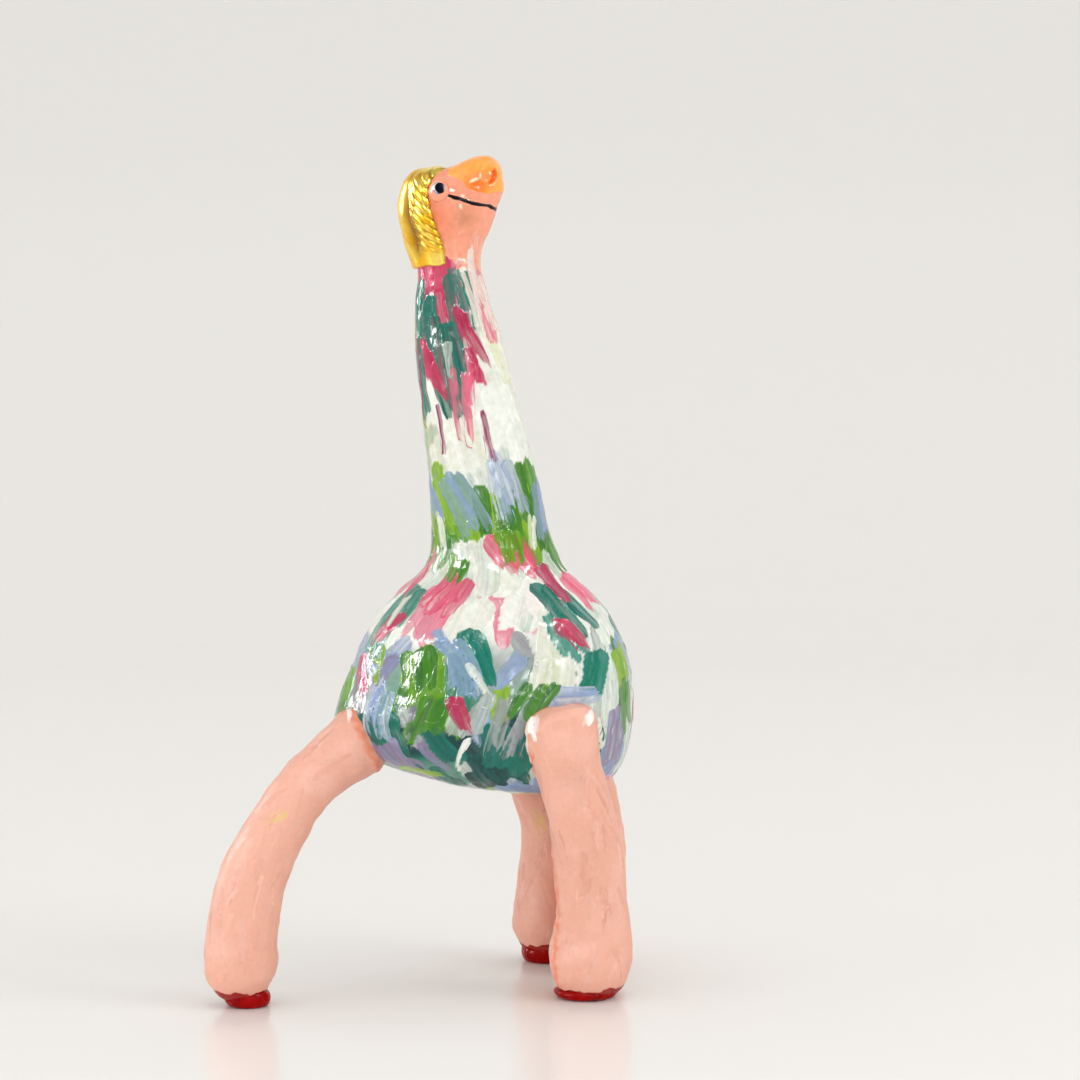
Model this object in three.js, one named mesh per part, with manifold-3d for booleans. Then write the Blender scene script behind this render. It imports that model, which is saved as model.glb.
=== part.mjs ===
// A hand-built polymer clay dinosaur: body, neck and head are one lump, and the hair, the eye discs, four
// rolled legs and four soles are pressed on to it.
// Millimetres, +Z up. It stands on its soles, its snout points along +X and its right flank faces -Y.
import * as THREE from "three";
import { mergeVertices } from "three/addons/utils/BufferGeometryUtils.js";
import Module from "manifold-3d";

const wasm = await Module();
wasm.setup();

// The seam left between two pieces of clay that are pressed together.
const SEAM = 0.3;
// Points closer together than this are one point.
const WELD = 1e-4;

// The lump, as rings from under the belly to the tip of the snout. x and z place a ring's middle, tilt in
// degrees leans its plane, reach is its half-size towards the chest and throat, spread its half-width.
const SPINE = [
  { x: 24.0, z: 53.2, tilt: -6, reach: 0, spread: 0 },
  { x: 22.8, z: 54.0, tilt: -6, reach: 15, spread: 12.5 },
  { x: 21.2, z: 56.6, tilt: -5, reach: 27, spread: 22.5 },
  { x: 18.2, z: 62.2, tilt: -4, reach: 35.6, spread: 29.3 },
  { x: 17.2, z: 70.8, tilt: -2, reach: 39.1, spread: 31.8 },
  { x: 18.9, z: 84.2, tilt: 0, reach: 36.8, spread: 30.6 },
  { x: 19.4, z: 96.1, tilt: 0, reach: 32.2, spread: 27.4 },
  { x: 20.0, z: 105.4, tilt: 0, reach: 25.2, spread: 22.2 },
  { x: 20.1, z: 111.6, tilt: 1, reach: 18.6, spread: 17.4 },
  { x: 19.3, z: 119.4, tilt: 2, reach: 15.7, spread: 15.2 },
  { x: 17.0, z: 134.7, tilt: 0, reach: 14.2, spread: 13.9 },
  { x: 14.4, z: 150.5, tilt: 0, reach: 13.1, spread: 12.8 },
  { x: 11.4, z: 166.3, tilt: 0, reach: 11.7, spread: 11.3 },
  { x: 9.1, z: 182.0, tilt: 0, reach: 9.3, spread: 9.1 },
  { x: 8.2, z: 191.0, tilt: 0, reach: 8.2, spread: 8.1 },
  { x: 7.9, z: 197.1, tilt: -6, reach: 9.2, spread: 8.5 },
  { x: 7.8, z: 202.0, tilt: -15, reach: 11.0, spread: 9.2 },
  { x: 8.9, z: 206.5, tilt: -21, reach: 11.6, spread: 9.4 },
  { x: 10.7, z: 209.6, tilt: -27, reach: 11.0, spread: 9.0 },
  { x: 13.1, z: 210.8, tilt: -33, reach: 9.3, spread: 8.4 },
  { x: 15.6, z: 212.0, tilt: -44, reach: 7.6, spread: 7.8 },
  { x: 18.0, z: 213.4, tilt: -58, reach: 6.7, spread: 7.3 },
  { x: 20.2, z: 214.3, tilt: -71, reach: 5.5, spread: 6.2 },
  { x: 21.7, z: 214.5, tilt: -77, reach: 3.5, spread: 4.2 },
  { x: 22.4, z: 214.6, tilt: -80, reach: 0, spread: 0 },
];
const SPINE_RINGS = 62;
const SPINE_SIDES = 28;
const SPINE_TIP = 0.006; // share of the spine left off at each end, where the rings close

// The hair, a crescent round the back of the head. at counts SPINE's rings, wrap is how far it comes round
// each side in degrees, thick its depth of clay, and lean drops its hem at the nape, in degrees.
const HAIR = [
  { at: 14.15, wrap: 86, thick: 0.9, lean: 15 },
  { at: 14.8, wrap: 85, thick: 1.8, lean: 8 },
  { at: 15.8, wrap: 76, thick: 2.1, lean: 2 },
  { at: 17.0, wrap: 59, thick: 2.1, lean: 0 },
  { at: 18.0, wrap: 47, thick: 2.0, lean: 0 },
  { at: 18.8, wrap: 31, thick: 1.6, lean: 0 },
  { at: 19.4, wrap: 16, thick: 1.0, lean: 0 },
];
const HAIR_RINGS = 20;
const HAIR_SIDES = 14;
const HAIR_EDGE = 0.55; // thickness at the hair's edges, as a share of its middle
const HAIR_ROOT = 0.7; // how deep its inner side starts, as a share of the head, before the head is cut away

// The eyes, domed discs on the cheeks. at counts SPINE's rings and round is degrees from the throat.
const EYE = { at: 17.55, round: 113, radius: 2.75, proud: 1.0, root: 1.6 };
const EYE_SIDES = 20;
const EYE_STEPS = 4;

// The legs, as rings down each rolled sausage from inside the lump to the ground, r its radius, and the soles.
const LEGS = {
  hind_right: {
    rings: [
      { x: -6.5, y: -6.5, z: 73.0, r: 7.4 },
      { x: -15.8, y: -12, z: 66.7, r: 8.8 },
      { x: -25.5, y: -16, z: 59.2, r: 7.7 },
      { x: -31.4, y: -19, z: 53.0, r: 7.5 },
      { x: -38.2, y: -22, z: 42.3, r: 8.1 },
      { x: -42.7, y: -24, z: 31.9, r: 8.8 },
      { x: -45.0, y: -25, z: 19.0, r: 9.2 },
      { x: -45.5, y: -25, z: 10.8, r: 9.5 },
      { x: -45.0, y: -25, z: 6.4, r: 8.5 },
      { x: -44.2, y: -25, z: 2.5, r: 5.4 },
    ],
    sole: { x: -43.7, y: -25, radius: 6.1, thick: 4.2 },
  },
  front_right: {
    rings: [
      { x: 36.8, y: -27.4, z: 78.2, r: 2.5 },
      { x: 37.0, y: -27.6, z: 77.2, r: 6.6 },
      { x: 37.6, y: -28, z: 74.0, r: 8.9 },
      { x: 38.3, y: -27.6, z: 67.2, r: 8.8 },
      { x: 40.3, y: -25, z: 58.9, r: 8.3 },
      { x: 42.7, y: -22, z: 48.6, r: 8.6 },
      { x: 45.0, y: -18.5, z: 38.0, r: 9.0 },
      { x: 45.5, y: -15.5, z: 26.0, r: 9.0 },
      { x: 45.6, y: -14, z: 17.5, r: 10.3 },
      { x: 45.2, y: -14, z: 10.4, r: 10.8 },
      { x: 44.6, y: -14, z: 5.5, r: 9.9 },
      { x: 44.0, y: -14, z: 1.2, r: 7.0 },
    ],
    sole: { x: 43.9, y: -14, radius: 8.3, thick: 3.0 },
  },
  hind_left: {
    rings: [
      { x: 19.0, y: 25.5, z: 72.5, r: 4.0 },
      { x: 20.2, y: 26.5, z: 70.6, r: 7.2 },
      { x: 24.0, y: 28.5, z: 64.5, r: 8.2 },
      { x: 29.8, y: 31.5, z: 53.5, r: 8.0 },
      { x: 33.4, y: 33.5, z: 43.0, r: 7.9 },
      { x: 35.0, y: 34.2, z: 34.0, r: 8.0 },
      { x: 34.2, y: 34.4, z: 24.0, r: 8.1 },
      { x: 33.3, y: 34.4, z: 14.5, r: 8.6 },
      { x: 33.2, y: 34.4, z: 8.5, r: 8.4 },
      { x: 33.4, y: 34.4, z: 3.0, r: 5.6 },
    ],
    sole: { x: 33.4, y: 34.4, radius: 6.7, thick: 5.0 },
  },
  front_left: {
    rings: [
      { x: 37.8, y: 18.0, z: 73.6, r: 4.0 },
      { x: 38.4, y: 18.6, z: 71.6, r: 7.0 },
      { x: 40.6, y: 20.4, z: 64.5, r: 8.0 },
      { x: 44.0, y: 21.4, z: 52.0, r: 7.9 },
      { x: 46.2, y: 21.0, z: 40.5, r: 8.0 },
      { x: 47.2, y: 20.4, z: 31.5, r: 8.1 },
      { x: 46.8, y: 19.8, z: 22.0, r: 8.4 },
      { x: 46.4, y: 19.4, z: 12.5, r: 8.7 },
      { x: 46.3, y: 19.4, z: 7.4, r: 8.1 },
      { x: 46.2, y: 19.4, z: 2.5, r: 5.4 },
    ],
    sole: { x: 46.2, y: 19.4, radius: 6.6, thick: 4.4 },
  },
};
const LEG_RINGS = 26;
const LEG_SIDES = 16;
const SOLE_SIDES = 20;
const SOLE_STEPS = 5;
const SOLE_FLAT = 0.72; // radius of a sole's flat underside, as a share of its whole radius

// Finishes: painted and varnished clay, with gold on the hair.
const PAINTED_BODY = new THREE.MeshStandardMaterial({ color: "#6f9a86", roughness: 0.25, metalness: 0 });
const GOLD_PAINT = new THREE.MeshStandardMaterial({ color: "#d8a51f", roughness: 0.3, metalness: 1 });
const FACE_PINK = new THREE.MeshStandardMaterial({ color: "#f2ae96", roughness: 0.3, metalness: 0 });
const LEG_PINK = new THREE.MeshStandardMaterial({ color: "#f3b9a2", roughness: 0.6, metalness: 0 });
const SOLE_RED = new THREE.MeshStandardMaterial({ color: "#9c0a0d", roughness: 0.2, metalness: 0 });

const { degToRad, lerp } = THREE.MathUtils;
const ACROSS = new THREE.Vector3(0, 1, 0);

// A smooth curve through the stations' named fields, three at a time, evenly timed from station to station.
function track(stations, fields) {
  const points = stations.map((s) => new THREE.Vector3(...fields.map((f) => s[f] ?? 0)));
  return new THREE.CatmullRomCurve3(points, false, "catmullrom");
}

// Skins a stack of equal rings, each a closed loop of points, and closes both ends with a fan.
function skin(rings) {
  const sides = rings[0].length;
  const last = (rings.length - 1) * sides;
  const middle = (ring) => ring.reduce((sum, p) => sum.add(p), new THREE.Vector3()).divideScalar(sides);
  const points = [...rings.flat(), middle(rings[0]), middle(rings.at(-1))];
  const bottom = points.length - 2;
  const top = points.length - 1;
  const faces = [];
  for (let side = 0; side < sides; side++) {
    const next = (side + 1) % sides;
    for (let row = 0; row < last; row += sides) {
      faces.push(row + side, row + next, row + sides + next);
      faces.push(row + side, row + sides + next, row + sides + side);
    }
    faces.push(bottom, next, side, top, last + side, last + next);
  }
  return new THREE.BufferGeometry().setFromPoints(points).setIndex(faces);
}

// The lump's own curves, and its ring at a place along the spine from 0 to 1.
const spinePlace = track(SPINE, ["x", "z", "tilt"]);
const spineSize = track(SPINE, ["reach", "spread"]);

function spineRing(t, lean = 0) {
  const place = spinePlace.getPoint(t);
  const size = spineSize.getPoint(t);
  const tilt = degToRad(place.z + lean);
  return {
    middle: new THREE.Vector3(place.x, 0, place.y),
    fore: new THREE.Vector3(Math.cos(tilt), 0, Math.sin(tilt)),
    reach: size.x,
    spread: size.y,
  };
}

// A point of such a ring, with the angle counted from the throat and swell added to both half-sizes.
function onRing(ring, angle, swell = 0, share = 1) {
  return ring.middle
    .clone()
    .addScaledVector(ring.fore, (ring.reach * share + swell) * Math.cos(angle))
    .addScaledVector(ACROSS, (ring.spread * share + swell) * Math.sin(angle));
}

function lumpGeometry() {
  const rings = [];
  for (let i = 0; i < SPINE_RINGS; i++) {
    const ring = spineRing(lerp(SPINE_TIP, 1 - SPINE_TIP, i / (SPINE_RINGS - 1)));
    const angles = Array.from({ length: SPINE_SIDES }, (_, k) => (2 * Math.PI * k) / SPINE_SIDES);
    rings.push(angles.map((angle) => onRing(ring, angle)));
  }
  return skin(rings);
}

// Crescents from the nape to the forehead. Their inner sides start inside the head, which is then cut away.
function hairGeometry() {
  const shape = track(HAIR, ["at", "wrap", "thick"]);
  const hem = track(HAIR, ["lean"]);
  const rings = [];
  for (let i = 0; i < HAIR_RINGS; i++) {
    const share = i / (HAIR_RINGS - 1);
    const { x: at, y: wrap, z: thick } = shape.getPoint(share);
    const ring = spineRing(at / (SPINE.length - 1), hem.getPoint(share).x);
    const outside = [];
    const inside = [];
    for (let k = 0; k < HAIR_SIDES; k++) {
      const turn = lerp(-1, 1, k / (HAIR_SIDES - 1));
      const angle = Math.PI + turn * degToRad(wrap);
      const depth = thick * lerp(1, HAIR_EDGE, turn ** 4);
      outside.push(onRing(ring, angle, depth));
      inside.push(onRing(ring, angle, 0, HAIR_ROOT));
    }
    rings.push([...outside, ...inside.reverse()]);
  }
  return skin(rings);
}

// A domed disc, turned about the line that leaves the cheek square. side is -1 on the right and 1 on the left.
function eyeGeometry(side) {
  const profile = [new THREE.Vector2(0, -EYE.root), new THREE.Vector2(EYE.radius, -EYE.root)];
  for (let k = 0; k <= EYE_STEPS; k++) {
    const angle = (Math.PI / 2) * (k / EYE_STEPS);
    profile.push(new THREE.Vector2(EYE.radius * Math.cos(angle), EYE.proud * Math.sin(angle)));
  }
  profile.at(-1).x = 0; // the last point is on the axis
  const ring = spineRing(EYE.at / (SPINE.length - 1));
  const angle = side * degToRad(EYE.round);
  const outward = ring.fore
    .clone()
    .multiplyScalar(Math.cos(angle) / ring.reach)
    .addScaledVector(ACROSS, Math.sin(angle) / ring.spread)
    .normalize();
  const turn = new THREE.Quaternion().setFromUnitVectors(new THREE.Vector3(0, 1, 0), outward);
  const place = new THREE.Matrix4().compose(onRing(ring, angle), turn, new THREE.Vector3(1, 1, 1));
  return new THREE.LatheGeometry(profile, EYE_SIDES).applyMatrix4(place);
}

// Round rings square to the leg's own run.
function legGeometry(stations) {
  const run = track(stations, ["x", "y", "z"]);
  const girth = track(stations, ["r"]);
  const rings = [];
  for (let i = 0; i < LEG_RINGS; i++) {
    const t = i / (LEG_RINGS - 1);
    const along = run.getTangent(t);
    const aside = new THREE.Vector3().crossVectors(ACROSS, along).normalize();
    const front = new THREE.Vector3().crossVectors(along, aside);
    const middle = run.getPoint(t);
    const r = girth.getPoint(t).x;
    const ring = [];
    for (let k = 0; k < LEG_SIDES; k++) {
      const angle = (2 * Math.PI * k) / LEG_SIDES;
      const point = middle.clone().addScaledVector(aside, r * Math.cos(angle));
      ring.push(point.addScaledVector(front, r * Math.sin(angle)));
    }
    rings.push(ring);
  }
  return skin(rings);
}

// A pad with a flat underside and a half-round rim.
function soleGeometry({ x, y, radius, thick }) {
  const flat = radius * SOLE_FLAT;
  const profile = [new THREE.Vector2(0, 0)];
  for (let k = 0; k <= SOLE_STEPS; k++) {
    const angle = Math.PI * (k / SOLE_STEPS - 0.5);
    const rim = (radius - flat) * Math.cos(angle);
    profile.push(new THREE.Vector2(flat + rim, (thick / 2) * (1 + Math.sin(angle))));
  }
  profile.push(new THREE.Vector2(0, thick));
  const upright = new THREE.LatheGeometry(profile, SOLE_SIDES).rotateX(Math.PI / 2);
  return upright.translate(x, y, 0);
}

// Everything below a height, for cutting a leg off flat above its sole.
function groundGeometry(height) {
  const side = 60;
  return new THREE.BoxGeometry(side, side, side).translate(0, 0, height - side / 2);
}

function solid(geometry) {
  const bare = geometry.clone();
  bare.deleteAttribute("normal");
  bare.deleteAttribute("uv");
  const merged = mergeVertices(bare, WELD);
  const vertProperties = merged.attributes.position.array;
  const triVerts = new Uint32Array(merged.index.array);
  return new wasm.Manifold(new wasm.Mesh({ numProp: 3, vertProperties, triVerts }));
}

function geometryOf(manifold) {
  const { vertProperties, triVerts } = manifold.getMesh();
  const geometry = new THREE.BufferGeometry();
  geometry.setAttribute("position", new THREE.BufferAttribute(vertProperties, 3));
  geometry.setIndex(new THREE.BufferAttribute(triVerts, 1));
  geometry.computeVertexNormals();
  return geometry;
}

// The same shape, swollen outwards along its normals.
function swollen(geometry, swell) {
  const merged = mergeVertices(geometry.clone().deleteAttribute("uv").deleteAttribute("normal"), WELD);
  merged.computeVertexNormals();
  const { position, normal } = merged.attributes;
  const point = new THREE.Vector3();
  const out = new THREE.Vector3();
  for (let i = 0; i < position.count; i++) {
    point.fromBufferAttribute(position, i).addScaledVector(out.fromBufferAttribute(normal, i), swell);
    position.setXYZ(i, point.x, point.y, point.z);
  }
  return merged;
}

const figure = new THREE.Group();

function addPiece(name, geometry, material) {
  const mesh = new THREE.Mesh(geometry, material);
  mesh.name = name;
  figure.add(mesh);
}

const lump = lumpGeometry();
const lumpRoom = solid(swollen(lump, SEAM));
lump.computeVertexNormals();
addPiece("body", lump, PAINTED_BODY);

let hair = solid(hairGeometry()).subtract(lumpRoom);
for (const [name, side] of [["right", -1], ["left", 1]]) {
  const eye = eyeGeometry(side);
  hair = hair.subtract(solid(swollen(eye, SEAM)));
  addPiece(`eye_${name}`, geometryOf(solid(eye).subtract(lumpRoom)), FACE_PINK);
}
addPiece("hair", geometryOf(hair), GOLD_PAINT);

for (const [name, { rings, sole }] of Object.entries(LEGS)) {
  const ground = groundGeometry(sole.thick + SEAM).translate(sole.x, sole.y, 0);
  const leg = solid(legGeometry(rings)).subtract(lumpRoom).subtract(solid(ground));
  addPiece(`leg_${name}`, geometryOf(leg), LEG_PINK);
  addPiece(`sole_${name}`, soleGeometry(sole), SOLE_RED);
}

// The origin is on the ground under the middle of the whole figure.
const middle = new THREE.Box3().setFromObject(figure, true).getCenter(new THREE.Vector3());
figure.position.set(-middle.x, -middle.y, 0);

export default new THREE.Group().add(figure);
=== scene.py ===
"""A hand-built polymer clay dinosaur, painted and varnished, on a pale floor.

Body, neck and head are one lump of clay. Gold hair, two eye discs, four pink legs and four red soles are
pressed on to it. Sizes are in millimetres until a mesh is made, and the scene is in metres.
"""

import logging
import math
from collections.abc import Iterable
from dataclasses import dataclass, replace
from enum import Enum

import bpy
import numpy as np
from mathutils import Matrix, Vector


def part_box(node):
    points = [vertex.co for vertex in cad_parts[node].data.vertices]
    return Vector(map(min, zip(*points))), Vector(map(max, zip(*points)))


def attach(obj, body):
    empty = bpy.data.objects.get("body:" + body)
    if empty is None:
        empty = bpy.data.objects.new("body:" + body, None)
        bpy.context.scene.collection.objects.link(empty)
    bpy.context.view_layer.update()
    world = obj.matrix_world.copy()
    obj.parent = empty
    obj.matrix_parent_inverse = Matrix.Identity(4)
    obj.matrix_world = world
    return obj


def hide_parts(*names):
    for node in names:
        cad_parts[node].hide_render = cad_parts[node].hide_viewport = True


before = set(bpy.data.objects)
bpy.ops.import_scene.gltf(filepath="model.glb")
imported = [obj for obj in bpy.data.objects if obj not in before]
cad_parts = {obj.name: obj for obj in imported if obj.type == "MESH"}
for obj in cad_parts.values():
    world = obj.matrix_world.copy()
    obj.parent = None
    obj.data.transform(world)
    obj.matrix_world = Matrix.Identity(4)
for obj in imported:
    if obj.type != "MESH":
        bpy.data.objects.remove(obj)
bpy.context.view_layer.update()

Array = np.ndarray
MM = 0.001
log = logging.getLogger("clay_dinosaur")


class Paint(Enum):
    """The paints and clays, as sRGB hex values."""

    CRIMSON = "#b32a50"
    WINE = "#8b2448"
    ROSE = "#df4f72"
    PINK = "#d98497"
    TEAL = "#127261"
    DEEP_TEAL = "#0b3c3e"
    SAGE = "#78a08e"
    GRASS = "#4a8a1c"
    LIME = "#8fb52c"
    YELLOW = "#d3d63c"
    STRAW = "#d9dba8"
    OCHRE = "#e6c27c"
    WHITE = "#e4e7df"
    CREAM = "#c9c7ac"
    LAVENDER = "#8298c4"
    MAUVE = "#8a7188"
    GREY = "#949f9b"
    PEACH = "#ec9b7f"
    BLUSH = "#e2805f"
    UMBER = "#c4805c"
    ORANGE = "#feaa4c"
    AMBER = "#f96f16"
    RUST = "#ee5d16"
    SKIN = "#e4aa96"
    SKIN_PALE = "#eab7a5"
    SKIN_DEEP = "#dda08c"
    PASTE = "#f6f3ee"
    RED = "#960606"
    RED_DARK = "#640304"
    BLACK = "#060506"
    NAVY = "#05071a"
    STEEL = "#4f69a0"

    @property
    def rgb(self) -> Array:
        """The paint's linear red, green and blue."""
        return linear(self.value)


def linear(code: str) -> Array:
    """Turns an sRGB hex colour into linear red, green and blue.

    Args:
        code: Six hex digits after a hash sign.

    Returns:
        Three numbers from 0 to 1.
    """
    srgb = np.array([int(code[i : i + 2], 16) for i in (1, 3, 5)]) / 255.0
    return np.where(srgb <= 0.04045, srgb / 12.92, ((srgb + 0.055) / 1.055) ** 2.4)


def smooth(value: Array, low: float, high: float) -> Array:
    """Smooth step from 0 at low to 1 at high: 3s^2 - 2s^3 of the clamped share s."""
    share = np.clip((value - low) / (high - low), 0.0, 1.0)
    return share * share * (3.0 - 2.0 * share)


def ripple(points: Array, wavelength: float, seed: int, waves: int = 20) -> Array:
    """Smooth seeded noise, the scaled sum of plane waves of random heading, pitch and phase.

    Args:
        points: Places in millimetres, with three numbers in the last axis.
        wavelength: Middle of the waves' pitches, in millimetres.
        seed: Seed of the random waves.
        waves: How many waves are summed.

    Returns:
        One number for each place, mostly between -1 and 1.
    """
    rng = np.random.default_rng(seed)
    heading = rng.normal(size=(waves, 3))
    heading /= np.linalg.norm(heading, axis=1, keepdims=True)
    pitch = wavelength * rng.uniform(0.7, 1.6, waves)
    phase = rng.uniform(0.0, 2.0 * math.pi, waves)
    angle = points @ (2.0 * math.pi * heading / pitch[:, None]).T + phase
    return np.sin(angle).sum(-1) * 0.5 * math.sqrt(2.0 / waves)


def spline(stations: Array, t: Array) -> Array:
    """Even Catmull-Rom curve through rows of numbers: a cubic between two rows, with each row's slope half
    the difference of its neighbours and the end rows mirrored.

    Args:
        stations: One row for each station.
        t: Places from 0, the first row, to 1, the last.

    Returns:
        One row of numbers for each place.
    """
    rows = np.vstack([2 * stations[0] - stations[1], stations, 2 * stations[-1] - stations[-2]])
    place = np.clip(t, 0.0, 1.0) * (len(stations) - 1)
    index = np.minimum(place.astype(int), len(stations) - 2)
    w = (place - index)[..., None]
    before, start, end, after = (rows[index + k] for k in range(4))
    leave, arrive = (end - before) / 2, (after - start) / 2
    cubic = 2 * start - 2 * end + leave + arrive
    square = 3 * end - 3 * start - 2 * leave - arrive
    return ((cubic * w + square) * w + leave) * w + start


def unit(vectors: Array) -> Array:
    """The same vectors at length 1."""
    return vectors / np.linalg.norm(vectors, axis=-1, keepdims=True)


def ring_normals(points: Array) -> Array:
    """Outward normals of a stack of rings: the step round a ring crossed with the step up the stack."""
    around = np.roll(points, -1, axis=1) - np.roll(points, 1, axis=1)
    return unit(np.cross(around, np.gradient(points, axis=0)))


class Skin:
    """A tube of clay, as points(t, v): t runs up it from 0 to 1 and v round it from +X towards +Y."""

    SAMPLES = 1500
    MERIDIANS = 12
    NUDGE = 1e-4

    def points(self, t: Array, v: Array) -> Array:
        """The skin's points in millimetres, for places t up it and angles v round it in radians."""
        raise NotImplementedError

    def strides(self, t: Array, v: Array) -> tuple[Array, Array]:
        """Millimetres for each unit of t and of v, by small steps to both sides."""
        step = self.NUDGE
        up = self.points(t + step, v) - self.points(t - step, v)
        turn = self.points(t, v + step) - self.points(t, v - step)
        return tuple(np.maximum(np.linalg.norm(s, axis=-1) / (2 * step), 1.0) for s in (up, turn))

    def at_height(self, height: Array) -> Array:
        """The t of heights above the ground, read off the middle of the tube."""
        t = np.linspace(0.0, 1.0, self.SAMPLES)
        middle = (self.points(t, t * 0.0) + self.points(t, t * 0.0 + math.pi)) / 2
        return np.interp(height, np.maximum.accumulate(middle[:, 2]), t)

    def rings(
        self, rows: int, sides: int, tip: float, fine: tuple[float, float, float], crowd: float = 0.0
    ) -> Array:
        """Rings at even steps along the skin, closer together where it needs finer detail.

        The points of a ring are at angles v = u - crowd cos u for even steps of u.

        Args:
            rows: How many rings.
            sides: Points in each ring.
            tip: Share of t left off at both ends, where the rings close.
            fine: From and to which t the steps shorten, and how many times closer they then are.
            crowd: How far the points of a ring crowd on to the right side.

        Returns:
            Points in millimetres, as rows by sides by three.
        """
        t = np.linspace(tip, 1.0 - tip, self.SAMPLES)
        turns = np.linspace(0.0, 2.0 * math.pi, self.MERIDIANS, endpoint=False)
        lines = self.points(t[:, None], turns[None, :])
        steps = np.linalg.norm(np.diff(lines, axis=0), axis=-1).mean(1)
        weight = 1.0 + (fine[2] - 1.0) * smooth(t[1:], fine[0], fine[1])
        run = np.concatenate([[0.0], np.cumsum(steps * weight)])
        places = np.interp(np.linspace(0.0, run[-1], rows), run, t)
        angles = np.linspace(0.0, 2.0 * math.pi, sides, endpoint=False)
        return self.points(places[:, None], (angles - crowd * np.cos(angles))[None, :])


def put_on(mesh: bpy.types.Mesh, name: str, values: Array) -> None:
    """Stores one number, vector or colour for each vertex under a name that materials can read."""
    kinds = {1: ("FLOAT", "value"), 3: ("FLOAT_VECTOR", "vector"), 4: ("FLOAT_COLOR", "color")}
    kind, field = kinds[values.shape[-1] if values.ndim > 1 else 1]
    layer = mesh.attributes.new(name, kind, "POINT")
    layer.data.foreach_set(field, np.ascontiguousarray(values, dtype=np.float32).ravel())


def make_piece(name: str, points: Array, faces: list, looks: dict[str, Array]) -> bpy.types.Object:
    """Makes a smooth mesh object at the origin.

    Args:
        name: The piece's name.
        points: Vertices in millimetres, before the shift into the shared frame.
        faces: Vertex numbers of each face.
        looks: Values for each vertex that its material reads.

    Returns:
        The new object, linked to the scene.
    """
    mesh = bpy.data.meshes.new(name)
    mesh.from_pydata((points + SHIFT) * MM, [], faces)
    for key, values in looks.items():
        put_on(mesh, key, values)
    mesh.shade_smooth()
    mesh.validate()
    piece = bpy.data.objects.new(name, mesh)
    bpy.context.scene.collection.objects.link(piece)
    return piece


def loft(name: str, rings: Array, looks: dict[str, Array]) -> bpy.types.Object:
    """Skins a stack of rings and closes each end with a fan round its middle, faces outwards.

    Args:
        name: The piece's name.
        rings: Points as rows by sides by three, bottom ring first.
        looks: Values for each point of the rings, as rows by sides.

    Returns:
        The new object.
    """
    rows, sides = rings.shape[:2]
    grid = np.arange(rows * sides).reshape(rows, sides)
    beside = np.roll(grid, -1, axis=1)
    quads = np.stack([grid[:-1], beside[:-1], beside[1:], grid[1:]], -1).reshape(-1, 4)
    low, high = rows * sides, rows * sides + 1
    under = np.stack([beside[0], grid[0], np.full(sides, low)], -1)
    over = np.stack([grid[-1], beside[-1], np.full(sides, high)], -1)
    faces = quads.tolist() + under.tolist() + over.tolist()

    def with_ends(values: Array) -> Array:
        """The rings' values in one row, followed by the means of the first and the last ring."""
        flat = values.reshape(rows * sides, -1)
        return np.vstack([flat, values[0].reshape(sides, -1).mean(0), values[-1].reshape(sides, -1).mean(0)])

    return make_piece(name, with_ends(rings), faces, {k: with_ends(v) for k, v in looks.items()})


def shell(name: str, outer: Array, inner: Array, looks: dict[str, Array]) -> bpy.types.Object:
    """Joins an outer and an inner sheet of the same grid along their borders.

    Args:
        name: The piece's name.
        outer: Outer points as rows by columns by three, seen from outside with rows up, columns to the right.
        inner: Inner points of the same grid.
        looks: Values for each point of the grid, used on both sheets.

    Returns:
        The new object.
    """
    rows, columns = outer.shape[:2]
    front = np.arange(rows * columns).reshape(rows, columns)
    back = front + rows * columns
    faces = []
    for grid, turn in ((front, 1), (back, -1)):
        quads = np.stack([grid[:-1, :-1], grid[:-1, 1:], grid[1:, 1:], grid[1:, :-1]], -1)
        faces += quads.reshape(-1, 4)[:, ::turn].tolist()
    border = np.concatenate([front[0, :-1], front[:-1, -1], front[-1, :0:-1], front[:0:-1, 0]])
    beside = np.roll(border, -1)
    buried = rows * columns
    faces += np.stack([border, border + buried, beside + buried, beside], -1).tolist()
    points = np.concatenate([outer.reshape(-1, 3), inner.reshape(-1, 3)])
    both = {k: np.concatenate([v.reshape(rows * columns, -1)] * 2) for k, v in looks.items()}
    return make_piece(name, points, faces, both)


@dataclass(frozen=True)
class Daub:
    """A group of like brush strokes.

    Attributes:
        paint: What the brush is loaded with.
        tint: A second paint that shows as streaks.
        layer: Which coat the strokes belong to. A higher one is laid later.
        height: Middle of the group above the ground, in millimetres.
        bearing: Degrees round from the right flank, towards the chest.
        count: How many strokes stand side by side.
        wide: How far the strokes spread round the clay, in millimetres.
        tall: How far they scatter up and down, in millimetres.
        length: Length of a stroke in millimetres.
        breadth: Breadth of the brush in millimetres.
        slant: Degrees from straight down, towards the chest on the right flank.
        bend: Degrees that a stroke turns from its start to its end.
        taper: Share of its breadth that a stroke loses by its end.
        dry: From 0, a loaded brush, to 1, a dry one that leaves bare streaks.
    """

    paint: Paint
    tint: Paint
    layer: int
    height: float
    bearing: float
    count: int = 1
    wide: float = 0.0
    tall: float = 0.0
    length: float = 12.0
    breadth: float = 5.0
    slant: float = 0.0
    bend: float = 0.0
    taper: float = 0.2
    dry: float = 0.1


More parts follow.
